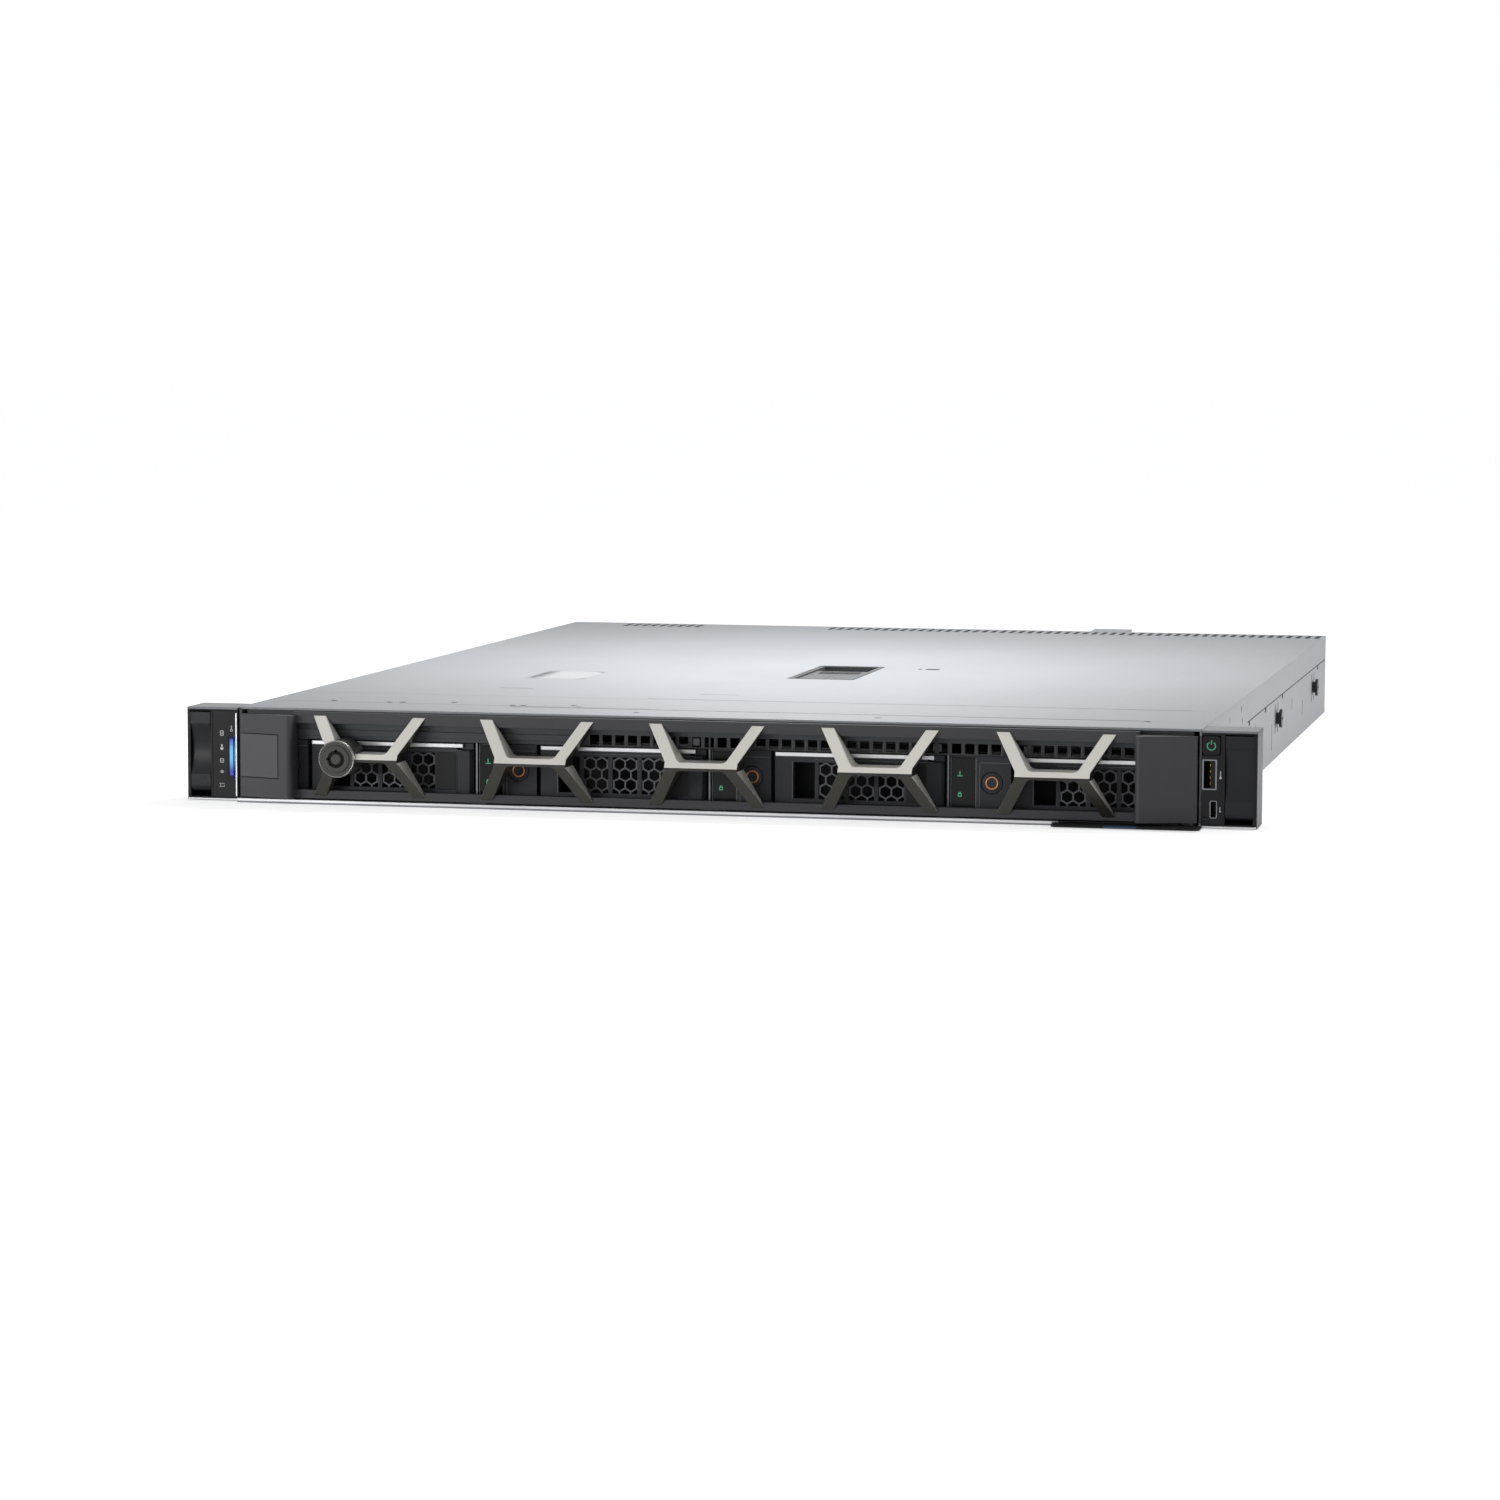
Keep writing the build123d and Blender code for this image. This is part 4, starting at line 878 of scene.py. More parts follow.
CAP_PLASTIC = Finish(
    name="cap_plastic", colour=shade("4E4E51"), rubbed=shade("606164"), roughness=0.48,
    grain_scale=4200.0, grain_strength=0.3, wear=0.35, edge_radius=0.0005, specular=0.3,
)
# Painted light and shade on the bezel ribs: faces that look up are light as if lit from above,
# sides are near black and faces that look down are dark.
RIB_PAINTED_LIGHT_SHADE = LitAndShadedTone(
    name="rib_metallic", colour=shade("E2E0D8"), second=shade("1E1D1A"), third=shade("37362F"),
    rubbed=shade("D9D7CE"), by_normal=True, low=0.05, high=0.3, metallic=0.35, roughness=0.42,
    colour_spread=0.05, grain_scale=5200.0, grain_strength=0.22, wear=0.3, edge_radius=0.00035,
)
LOCK_BODY = Finish(
    name="lock_body", colour=shade("3C3C3A"), rubbed=shade("8C8B84"), metallic=0.3,
    roughness=0.42, grain_scale=4000.0, wear=0.55, edge_radius=0.0005, specular=0.3,
)
BRIGHT_METAL = Finish(
    name="bright_metal", colour=shade("C8C7C2"), rubbed=shade("EDEDEA"), metallic=1.0,
    roughness=0.25, grain=Grain.ACROSS, wear=0.3,
)
CARRIER_PLASTIC = Finish(
    name="carrier_plastic", colour=shade("2E2F33"), rubbed=shade("4A4B50"), roughness=0.46,
    grain_scale=3800.0, wear=0.5, specular=0.22,
)
WEB_PLASTIC = Finish(
    name="web_plastic", colour=shade("47484C"), rubbed=shade("7C7D80"), roughness=0.4,
    grain_scale=3800.0, wear=0.4, edge_radius=0.0002,
)
GLOSS_BLACK = Finish(
    name="gloss_black", colour=shade("0B0C0E"), rubbed=shade("2C2D30"), roughness=0.22,
    grain_strength=0.08, wear=0.3, specular=0.2,
)
MATT_BLACK = Finish(
    name="matt_black", colour=shade("0A0A0B"), rubbed=shade("2E2E30"), roughness=0.6,
    grain_scale=3600.0, wear=0.35, specular=0.12,
)
EAR_BLACK = Finish(
    name="ear_black", colour=shade("121214"), rubbed=shade("3A3A3D"), roughness=0.34,
    grain_scale=3600.0, grain_strength=0.2, wear=0.5, edge_radius=0.0004, specular=0.18,
)
EAR_SHEET = TwoTone(
    name="ear_sheet", colour=shade("6F7073"), second=shade("17181A"), rubbed=shade("707174"),
    by_normal=True, low=0.5, high=0.8, metallic=0.3, roughness=0.4, wear=0.4, specular=0.25,
)
SHEET_LINE = Finish(
    name="sheet_line", colour=shade("75767A"), rubbed=shade("8A8B8E"), metallic=0.4, wear=0.2,
)
LATCH_PLASTIC = Finish(
    name="latch_plastic", colour=shade("1A1B1E"), rubbed=shade("45464A"), roughness=0.3,
    grain_scale=3600.0, grain_strength=0.2, edge_radius=0.0005, specular=0.22,
)
PANEL_BLACK = Finish(
    name="panel_black", colour=shade("19191B"), rubbed=shade("3C3C3E"), roughness=0.42,
    grain_scale=4000.0, wear=0.4, specular=0.18,
)
PRINT_WHITE = Finish(
    name="print_white", colour=shade("DADADA"), rubbed=shade("C4C4C4"), roughness=0.55,
    grain_strength=0.1, wear=0.2,
)
COPPER_RING = Finish(
    name="copper_ring", colour=shade("D08A55"), rubbed=shade("F0B98A"), metallic=0.5,
    roughness=0.35, wear=0.4,
)
TAG_BLUE = Finish(
    name="tag_blue", colour=shade("243F5C"), rubbed=shade("6B93BC"), roughness=0.45,
    grain_scale=3600.0, wear=0.4,
)
LATCH_PLATE = Finish(
    name="latch_plate", colour=shade("48494B"), rubbed=shade("66676A"), grain_scale=3600.0,
    wear=0.4,
)
STUD_STEEL = Finish(
    name="stud_steel", colour=shade("2E2F31"), rubbed=shade("8D8E90"), metallic=0.7,
    roughness=0.4,
)
SOCKET_DARK = Finish(
    name="socket_dark", colour=shade("121314"), rubbed=shade("5A5B5D"), wear=0.3, specular=0.2,
)
SOCKET_RIM = Finish(
    name="socket_rim", colour=shade("7C7D80"), rubbed=shade("B5B5B7"), metallic=0.6,
    roughness=0.4, wear=0.5, edge_radius=0.0002,
)
SOCKET_METAL = Finish(
    name="socket_metal", colour=shade("B9B9B9"), rubbed=shade("E0E0E0"), metallic=1.0,
    roughness=0.3, wear=0.4, edge_radius=0.0002,
)
DISK_METAL = TwoTone(
    name="disk_metal", colour=shade("8F9093"), second=shade("0C0C0D"), rubbed=shade("C8C8CA"),
    axis="Y", low=0.0004, metallic=0.4, roughness=0.55, grain_scale=1400.0, grain_strength=0.4,
    wear=0.4, specular=0.25,
)
FIN_METAL = Finish(
    name="fin_metal", colour=shade("C2C3C5"), rubbed=shade("E4E4E4"), metallic=0.95,
    roughness=0.32, grain=Grain.ROLLED, wear=0.5,
)
LID_METAL = Finish(
    name="lid_metal", colour=shade("B5B6B8"), rubbed=shade("DADADA"), metallic=0.95,
    roughness=0.28, wear=0.4,
)
CASE_METAL = Finish(
    name="case_metal", colour=shade("9C9DA0"), rubbed=shade("CECED0"), metallic=0.85,
    roughness=0.45, grain=Grain.ROLLED, wear=0.45,
)
GOLD = Finish(
    name="gold_contact", colour=shade("C9A55A"), rubbed=shade("E4CC8E"), metallic=1.0,
    roughness=0.3, wear=0.2,
)
PORT_BLUE = Finish(
    name="port_blue", colour=shade("2A4B8C"), rubbed=shade("5573AA"), roughness=0.45, wear=0.3,
)
BOARD = BoardFinish()
STATUS_GREEN = Glow("status_green", shade("2FAF7A"), shade("2FAF7A"), 0.016, 0.02, 0.55)
POWER_GREEN = Glow("power_green", shade("45B583"), shade("3FAE7F"), 0.036, 0.02, 0.5)
LIGHT_BAR = Glow(
    "light_bar", shade("6CC8FF"), shade("1228A8"), 0.0212, 0.0080, 0.8, (0.01, 0.015, 0.08)
)


# ---------------------------------------------------------------------------------------------
# Pieces
# ---------------------------------------------------------------------------------------------

AnyFinish = Finish | Glow | BoardFinish


def make_piece(
    name: str,
    surface: Surface,
    finish: AnyFinish,
    body: str,
    smooth_degrees: float = 32.0,
) -> bpy.types.Object:
    """Turn a surface into a finished object that rides on a body.

    Doubled points are merged, which closes seams and poles, faces without area go, and the
    normals are made to point outwards.

    Args:
        name: Name of the piece.
        surface: Its shape, in millimetres.
        finish: Its finish.
        body: Body that it moves with.
        smooth_degrees: Edges sharper than this stay sharp.

    Returns:
        The object.
    """
    mesh = bpy.data.meshes.new(name)
    faces = [row for block in surface.faces for row in block.tolist()]
    mesh.from_pydata((surface.points * MM).tolist(), [], faces)
    shape = bmesh.new()
    shape.from_mesh(mesh)
    bmesh.ops.remove_doubles(shape, verts=shape.verts, dist=2e-7)
    bmesh.ops.dissolve_degenerate(shape, edges=shape.edges, dist=2e-7)
    bmesh.ops.recalc_face_normals(shape, faces=shape.faces)
    shape.to_mesh(mesh)
    shape.free()
    mesh.polygons.foreach_set("use_smooth", np.ones(len(mesh.polygons), bool))
    mesh.set_sharp_from_angle(angle=float(np.radians(smooth_degrees)))
    piece = bpy.data.objects.new(name, mesh)
    bpy.context.scene.collection.objects.link(piece)
    mesh.materials.append(finish.material())
    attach(piece, body)
    LOG.info("%s: %d faces on %s", name, len(mesh.polygons), body)
    return piece


def soften(piece: bpy.types.Object, width_mm: float, segments: int = 2) -> bpy.types.Object:
    """Round the sharp edges of a piece with a bevel modifier, and return the piece."""
    bevel = piece.modifiers.new("rounded_edges", "BEVEL")
    bevel.width = width_mm * MM
    bevel.segments = segments
    bevel.limit_method = "ANGLE"
    bevel.angle_limit = float(np.radians(40))
    bevel.harden_normals = False
    return piece


def dress(finish: AnyFinish, *names: str) -> None:
    """Give solid nodes a finish.

    Args:
        finish: The finish.
        *names: Names of the nodes.
    """
    for name in names:
        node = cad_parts[name]
        if not node.material_slots:
            node.data.materials.append(finish.material())
        for place in node.material_slots:
            place.material = finish.material()
        LOG.info("%s: dressed in %s", name, finish.name)


@dataclass
class Studio:
    """Pale floor, soft lamps, white backdrop and the camera of the photograph."""

    yaw_degrees: float = 12.74
    pitch_degrees: float = 5.6
    roll_degrees: float = 0.18
    place_mm: tuple[float, float, float] = (431.7, -1846.9, 212.7)
    focal_pixels: float = 4294.2
    photo_pixels: float = 1500.0
    sensor_mm: float = 36.0
    floor_size: float = 60.0
    floor_glow: float = 0.68
    ambient: float = 0.26
    lamps: tuple[tuple, ...] = (
        ("overhead", (-0.02, 0.28, 0.36), (-0.02, 0.29, 0.04), (0.2, 0.2), 2.3),
        ("front_fill", (-1.25, -1.35, 0.08), (-0.1, 0.0, 0.03), (1.0, 0.3), 15.0),
        ("right_side", (2.2, 0.3, 0.45), (0.2, 0.3, 0.03), (1.2, 0.6), 25.0),
    )

    def camera(self) -> None:
        """Camera whose three directions come from yaw, then pitch, then roll."""
        yaw, pitch, roll = np.radians([self.yaw_degrees, self.pitch_degrees, self.roll_degrees])
        ahead = np.array(
            [-np.sin(yaw) * np.cos(pitch), np.cos(yaw) * np.cos(pitch), -np.sin(pitch)]
        )
        level = np.array([np.cos(yaw), np.sin(yaw), 0.0])
        raised = np.cross(level, ahead)
        right = np.cos(roll) * level + np.sin(roll) * raised
        up = -np.sin(roll) * level + np.cos(roll) * raised
        data = bpy.data.cameras.new("photo_camera")
        data.sensor_width = self.sensor_mm
        data.lens = self.focal_pixels / self.photo_pixels * self.sensor_mm
        data.clip_end = 200.0
        camera = bpy.data.objects.new("photo_camera", data)
        bpy.context.scene.collection.objects.link(camera)
        basis = np.eye(4)
        basis[:3, 0], basis[:3, 1], basis[:3, 2] = right, up, -ahead
        basis[:3, 3] = np.array(self.place_mm) * MM
        camera.matrix_world = Matrix(basis.tolist())
        bpy.context.scene.camera = camera

    def seen_white(self, graph: Graph) -> bpy.types.NodeSocket:
        """1 for the rays to which floor and world show white: camera, glossy and transmission."""
        rays = graph.add("LightPath").outputs
        mirrored = graph.math("MAXIMUM", rays["Is Glossy Ray"], rays["Is Transmission Ray"])
        return graph.math("MAXIMUM", rays["Is Camera Ray"], mirrored)

    def floor(self) -> None:
        """Large pale floor that keeps the object's shadow and shows white to the camera."""
        half = self.floor_size / 2
        outline = rectangle(0, 0, 2 * half / MM, 2 * half / MM)
        mesh = bpy.data.meshes.new("studio_floor")
        points = Facing.TOP.place(outline, 0.0) * MM
        mesh.from_pydata(points.tolist(), [], [[0, 1, 2, 3]])
        floor = bpy.data.objects.new("studio_floor", mesh)
        bpy.context.scene.collection.objects.link(floor)
        made, graph = new_material("studio_floor")
        seen = self.seen_white(graph)
        shader = graph.add(
            "BsdfPrincipled",
            Base_Color=(0.82, 0.82, 0.83, 1.0),
            Roughness=0.75,
            Emission_Color=(1.0, 1.0, 1.0, 1.0),
            Emission_Strength=graph.math("MULTIPLY", seen, self.floor_glow),
        )
        graph.add("OutputMaterial", Surface=shader.outputs[0])
        mesh.materials.append(made)

    def world(self) -> None:
        """Even soft light from all round, and white where the camera or a reflection looks."""
        world = bpy.data.worlds.new("studio_world")
        bpy.context.scene.world = world
        world.use_nodes = True
        world.node_tree.nodes.clear()
        graph = Graph(world.node_tree)
        seen = self.seen_white(graph)
        strength = graph.math("MULTIPLY_ADD", seen, 1.0 - self.ambient)
        strength.node.inputs[2].default_value = self.ambient
        back = graph.add("Background", Color=(1.0, 1.0, 1.0, 1.0), Strength=strength)
        graph.add("OutputWorld", Surface=back.outputs[0])

    def lamp(
        self,
        name: str,
        place: tuple[float, float, float],
        target: tuple[float, float, float],
        size: tuple[float, float],
        power: float,
    ) -> None:
        """Soft rectangular lamp.

        Args:
            name: Name of the lamp.
            place: Where it stands, in metres.
            target: The point it faces, in metres.
            size: Its width and height, in metres.
            power: Its power in watts.
        """
        data = bpy.data.lights.new(name, "AREA")
        data.shape = "RECTANGLE"
        data.size, data.size_y = size
        data.energy = power
        lamp = bpy.data.objects.new(name, data)
        bpy.context.scene.collection.objects.link(lamp)
        back = np.array(place) - np.array(target)
        back = back / np.linalg.norm(back)
        side = np.cross(np.array([0.0, 0.0, 1.0]), back)
        side = side / np.linalg.norm(side)
        basis = np.eye(4)
        basis[:3, 0], basis[:3, 1], basis[:3, 2] = side, np.cross(back, side), back
        basis[:3, 3] = place
        lamp.matrix_world = Matrix(basis.tolist())

    def build(self) -> None:
        """Make the whole studio and set how colours are shown."""
        self.camera()
        self.floor()
        self.world()
        for row in self.lamps:
            self.lamp(*row)
        bpy.context.scene.view_settings.view_transform = "Standard"


# ---------------------------------------------------------------------------------------------
# Sub-assemblies
# ---------------------------------------------------------------------------------------------


@dataclass
class TopSheet:
    """Fixed front sheet and the lift-off cover, with what is pressed into them."""

    level: float = 42.8
    dish_x: float = -121.5
    dish_y: float = 190.0
    dish_width: float = 28.6
    dish_length: float = 45.6
    slot_rows: tuple[tuple[float, float], ...] = ((-184.0, -137.4), (-64.3, 216.0))
    slot_groups: tuple[tuple[float, int], ...] = ((-160.7, 9), (76.0, 54))
    slot_front: float = 552.0
    slot_run: float = 13.0
    slot_pitch: float = 5.2
    slot_width: float = 2.6
    bead_y: float = 12.0
    bead_left: float = -100.0
    bead_right: float = 190.0
    rivets: tuple[tuple[float, float], ...] = (
        (-186.0, 22.0),
        (-159.0, 20.0),
        (-153.0, 21.0),
        (-130.0, 26.0),
        (-100.0, 18.0),
        (-95.0, 18.5),
        (-73.0, 24.0),
        (-69.0, 17.0),
        (-37.0, -3.0),
        (72.0, -2.0),
        (190.0, 9.0),
    )

    def mark(self, outline: np.ndarray, rise: float, chamfer: float = 0.0) -> Surface:
        """Thin shape on the sheets' top face, which stands out of it by the given rise."""
        return prism(outline, self.level - SINK, self.level + rise, Facing.TOP, chamfer)

    def bead(self) -> Surface:
        """Low pressed bead: a stadium outline carried up with a wide chamfer."""
        middle = (self.bead_left + self.bead_right) / 2
        length = self.bead_right - self.bead_left
        outline = rectangle(middle, self.bead_y, length, 1.0, 0.49)
        return self.mark(outline, 0.14, 0.12)

    def slot_shade_marks(self) -> Surface:
        """Painted shade: dark marks ahead of the part that is cut through the cover, standing for
        the dark inside of the rear slots there.
        """
        back, ahead = self.slot_front + 0.2, self.slot_front - self.slot_run
        places = []
        for centre, count in self.slot_groups:
            places += [centre + (i - (count - 1) / 2) * self.slot_pitch for i in range(count)]
        return joined(
            self.mark(rectangle(x, (back + ahead) / 2, self.slot_width, back - ahead), 0.03)
            for x in places
        )

    def seam_line(self) -> Surface:
        """Faint line folded into the fixed front sheet, from its left end to the middle."""
        outline = rectangle(-124.0, 16.4, 176.0, 0.5)
        return self.mark(outline, 0.04)

    def creases(self) -> Surface:
        """Short low lines pressed into the cover, and one long one near its front edge."""
        rows = ((-124.0, 109.0, 16.0), (-22.5, 97.0, 19.0), (76.0, 68.6, 252.0))
        return joined(
            self.mark(rectangle(x, y, width, 0.7, 0.3), 0.08, 0.06)
            for x, y, width in rows
        )

    def slot_shade_strip(self) -> Surface:
        """Painted shade: dark strip inside the thickness of the sheet, which makes the rows of rear
        slots look dark, as the shade inside them would.
        """
        return joined(
            slab(
                (low + high) / 2, 556.0, high - low, 9.0, self.level - 0.7, self.level - 0.3,
                Facing.TOP,
            )
            for low, high in self.slot_rows
        )

    def dish_rim(self) -> Surface:
        """Plate that fills the corners between the recess cut in the sheet and the dish."""
        outer = rectangle(self.dish_x, self.dish_y, 29.0, 46.0, 0.05, 9)
        inner = rectangle(self.dish_x, self.dish_y, 28.5, 45.5, 10.3, 9)
        return band(outer, inner, self.level - 0.5, self.level - 0.01, Facing.TOP)

    def slot_mark(self) -> Surface:
        """Dark slot in the cover beside the latch, and a short dark bar next to it."""
        slot = self.mark(rectangle(47.0, 270.0, 7.0, 5.2, 1.6), 0.04)
        return slot + self.mark(rectangle(40.6, 270.0, 1.6, 4.2, 0.4), 0.04)

    def rivet(self, x: float, y: float) -> Surface:
        """Flush rivet: a low dome with a dimple, turned about Z."""
        top = self.level
        profile = (
            (0, top - 0.05), (0.5, top + 0.02), (0.9, top + 0.16), (1.4, top + 0.12),
            (1.7, top - SINK),
        )
        return turned(profile, x, y, Facing.TOP, 20)

    def build(self) -> None:
        """Dress the sheets and add the pressed details."""
        dress(GALVANISED, "front_top_panel", "top_cover", "rear_tab")
        dish = bowl(
            self.dish_x, self.dish_y, self.dish_width, self.dish_length, self.level, 0.42, 0.10
        )
        # The dish's finish paints shade along its left edge.
        make_piece("cover_dish", dish, SHADED_DISH_STEEL, "cover", 60)
        make_piece("front_bead", self.bead(), SHEET_LINE, "chassis")
        make_piece("cover_creases", self.creases(), SHEET_LINE, "cover")
        # Painted shade at the front ends of the rear slots.
        make_piece("cover_slot_end_shade", self.slot_shade_marks(), MATT_BLACK, "cover")
        make_piece("front_seam_line", self.seam_line(), SHEET_LINE, "chassis")
        # Painted shade seen through the rear slots.
        make_piece("cover_slot_painted_shade", self.slot_shade_strip(), MATT_BLACK, "cover")
        make_piece("cover_dish_rim", self.dish_rim(), SHEET_LINE, "cover")
        make_piece("cover_slot_mark", self.slot_mark(), MATT_BLACK, "cover")
        rivets = joined(self.rivet(x, y) for x, y in self.rivets)
        make_piece("front_rivets", rivets, STUD_STEEL, "chassis", 50)


@dataclass
class SideWall:
    """Tray, its front hem, the studs and the small features of the right and left walls."""

    face: float = 217.0
    stud_places: tuple[float, ...] = (295.0, 488.0)
    stud_z: float = 20.0
    hook_places: tuple[float, ...] = (168.4, 241.8, 323.2, 515.7)
    hook_z: float = 29.6
    hem_right: float = 153.0
    slots: tuple[tuple[float, float, float], ...] = (
        (273.0, 12.3, 13.6),
        (373.8, 20.7, 5.8),
        (138.0, 32.5, 2.6),
        (85.8, 37.3, 2.6),
        (196.0, 24.0, 3.0),
        (430.0, 14.0, 8.0),
    )

    def mark(self, outline: np.ndarray, rise: float, facing: Facing) -> Surface:
        """Thin shape on a side wall, which stands out of it by the given rise."""
        return prism(outline, self.face - SINK, self.face + rise, facing)

    def hole(self, facing: Facing) -> Surface:
        """Dark round hole near the top, as a shallow plug with a rolled rim."""
        base = self.face
        profile = ((0, base + 0.03), (1.2, base + 0.03), (1.5, base + 0.12), (1.8, base - 0.05))
        return turned(profile, 133.5, 38.4, facing, 24)

    def stud_slots(self, facing: Facing) -> Surface:
        """Relief cuts above and below each stud, and the cross cut of its head."""
        parts = []
        for y in self.stud_places:
            for side in (-1, 1):
                outline = rectangle(y + side * 6.4, self.stud_z, 1.3, 15.0, 0.6)
                parts.append(self.mark(outline, 0.06, facing))
            cut = rectangle(y, self.stud_z, 6.4, 1.1)
            parts.append(prism(cut, self.face + 2.9, self.face + 3.06, facing))
        return joined(parts)

    def marks(self, facing: Facing) -> Surface:
        """Hooks of the cover along the seam and the thin upright slots."""
        parts = [self.stud_slots(facing)]
        for y in self.hook_places:
            parts.append(self.mark(rectangle(y, self.hook_z - 0.9, 5.0, 2.4, 0.8), 0.06, facing))
        parts.append(self.mark(rectangle(362.0, 29.85, 400.0, 0.5), 0.05, facing))
        for y, z, height in self.slots:
            parts.append(self.mark(rectangle(y, z, 1.1, height, 0.5), 0.05, facing))
        return joined(parts)

    def hem_edge(self) -> Surface:
        """Bright cut edge along the front hem, from the left wall to the tag's holder."""
        outline = rectangle((self.hem_right - self.face) / 2, 1.35, self.hem_right + self.face, 1.2)
        return prism(outline, 23.6, 24.14, Facing.FRONT, 0.1)

    def build(self) -> None:
        """Dress the tray and the studs and add the marks on both sides."""
        dress(GALVANISED, "chassis_tray", "slot_covers")
        dress(STUD_STEEL, "side_studs")
        for name, facing in (("right", Facing.RIGHT), ("left", Facing.LEFT)):
            make_piece(
                f"{name}_wall_cuts", self.marks(facing), MATT_BLACK, "chassis"
            )
            make_piece(
                f"{name}_wall_hole", self.hole(facing), STUD_STEEL, "chassis",
                50,
            )
        make_piece("hem_edge", self.hem_edge(), EDGE_STEEL, "chassis")


@dataclass
class Ears:
    """Rack ears, slam latches, control strips and what is printed on them."""

    front: float = 22.0
    icon_x: float = -224.7
    icon_levels: tuple[float, ...] = (30.9, 24.6, 18.5, 13.5, 7.4)
    bar_x: float = -220.1
    bar_z: float = 20.15
    line_x: float = -218.3
    power_x: float = 221.3
    power_z: float = 36.2
    usb_x: float = 220.6
    usb_z: float = 23.6
    micro_x: float = 222.4
    micro_z: float = 8.65
    print_height: float = 0.05

    def trim(self, side: int) -> Surface:
        """Black lining of an ear: an upright strip outside and thin ones under the edges."""
        low, high = self.front - 0.3, self.front + 0.18
        outer = slab(side * 240.2, 21.5, 1.5, 38.6, low, high, Facing.FRONT, 0.1)
        upper = slab(side * 229.2, 41.15, 20.6, 0.5, low, high, Facing.FRONT, 0.08)
        lower = slab(side * 229.2, 1.9, 20.6, 0.5, low, high, Facing.FRONT, 0.08)
        cheek = slab(
            11.2, 21.5, 21.2, 39.6, 240.9, 241.05, Facing.RIGHT if side > 0 else Facing.LEFT
        )
        cheek.points[:, 1] *= -1
        split = 229.4 if side < 0 else 226.8
        divider = slab(side * split, 21.5, 0.9, 38.6, low, high, Facing.FRONT, 0.1)
        return outer + upper + lower + divider + cheek

    def edge(self, side: int, level: float, height: float) -> Surface:
        """Cut edge of the ear's top or bottom wall."""
        outline = rectangle(side * 229.0, level, 23.6, height)
        return prism(outline, self.front - 1.0, self.front + 0.22, Facing.FRONT, 0.2)

    def lip(self, left: float, right: float) -> Surface:
        """Thin bright ridge under the finger lip of a latch."""
        outline = rectangle((left + right) / 2, 34.75, right - left, 0.55)
        return prism(outline, self.front - 0.5, self.front + 0.12, Facing.FRONT, 0.1)

    def printed(self, outline: np.ndarray) -> Surface:
        """Printed shape on the face of a control strip."""
        return prism(outline, self.front - 0.1, self.front + self.print_height, Facing.FRONT)

    def printed_ring(self, outer: np.ndarray, inner: np.ndarray) -> Surface:
        """Printed ring on the face of a control strip."""
        return band(outer, inner, self.front - 0.1, self.front + self.print_height, Facing.FRONT)

    def icons(self) -> Surface:
        """Five plain pictograms: a drive, a bulb, a plug, a dot and an open bracket."""
        x = self.icon_x
        drive_z, bulb_z, plug_z, dot_z, card_z = self.icon_levels
        return joined(
            [
                self.printed_ring(
                    rectangle(x, drive_z, 1.7, 2.3, 0.3), rectangle(x, drive_z, 1.1, 1.7, 0.15)
                ),
                self.printed(rectangle(x + 0.1, drive_z - 0.1, 0.4, 0.9)),
                self.printed(rectangle(x, bulb_z + 0.5, 0.8, 1.5, 0.35)),
                self.printed(ring_of(x, bulb_z - 0.6, 0.75, 20)),
                self.printed_ring(
                    rectangle(x, plug_z, 1.8, 1.9, 0.35), rectangle(x, plug_z, 1.2, 1.3, 0.2)
                ),
                self.printed(rectangle(x, plug_z + 0.1, 0.7, 0.3)),
                self.printed(ring_of(x, dot_z, 0.72, 20)),
                self.printed(rectangle(x, dot_z, 2.0, 0.28)),
                self.printed_ring(
                    rectangle(x + 0.1, card_z, 1.9, 1.7, 0.1),
                    rectangle(x + 0.1, card_z, 1.4, 1.2, 0.05)
                ),
                self.printed(rectangle(x - 1.0, card_z - 0.75, 0.5, 0.4)),
                self.printed(rectangle(x - 1.0, card_z + 0.75, 0.5, 0.4)),
                self.printed(rectangle(self.bar_x, 33.6, 0.35, 1.6)),
                self.printed_ring(
                    ring_of(self.bar_x, 32.2, 0.62, 16), ring_of(self.bar_x, 32.2, 0.32, 16)
                ),
            ]
        )

    def bar_frame(self) -> Surface:
        """Dark frame round the lit part of the light bar."""
        outer = rectangle(self.bar_x, self.bar_z, 2.5, 18.0, 0.4)
        inner = rectangle(self.bar_x, self.bar_z, 1.6, 16.6, 0.4)
        return band(outer, inner, self.front + 0.1, self.front + 0.43, Facing.FRONT)

    def power_mark(self) -> Surface:
        """Power mark on its button: an open ring with a bar in the gap."""
        x, z, level = self.power_x, self.power_z - 0.2, self.front + 0.4
        angles = np.radians(np.linspace(125, 415, 30))
        path = np.stack(
            [x + 1.75 * np.cos(angles), np.full(30, -level - 0.05), z + 1.75 * np.sin(angles)],
            axis=-1
        )
        bar = slab(x, z + 1.5, 0.5, 1.9, level - SINK, level + 0.12, Facing.FRONT, corner=0.2)
        return tube(path, 0.25, 8) + bar

    def contacts(self) -> Surface:
        """Four sprung contacts on the tongue of the larger socket."""
        parts = []
        for i in range(4):
            z = self.usb_z - 3.9 + 2.6 * i
            outline = rectangle(self.usb_x + 0.35, z, 0.5, 1.2, 0.2)
            parts.append(prism(outline, self.front - 3.0, self.front - 0.7, Facing.FRONT, 0.15))
        return joined(parts)

    def socket_rims(self) -> Surface:
        """Bright folded rims round both sockets."""
        high = self.front + 0.3
        larger = band(
            rectangle(self.usb_x, self.usb_z, 6.3, 13.2, 0.5),
            rectangle(self.usb_x, self.usb_z, 5.0, 11.9, 0.3),
            self.front - 1.0,
            high,
            Facing.FRONT,
            0.12,
        )
        smaller = band(
            rectangle(self.micro_x, self.micro_z, 3.2, 7.7, 0.8),
            rectangle(self.micro_x, self.micro_z, 2.4, 6.9, 0.5),
            self.front - 1.0,
            high,
            Facing.FRONT,
            0.1,
        )
        return larger + smaller

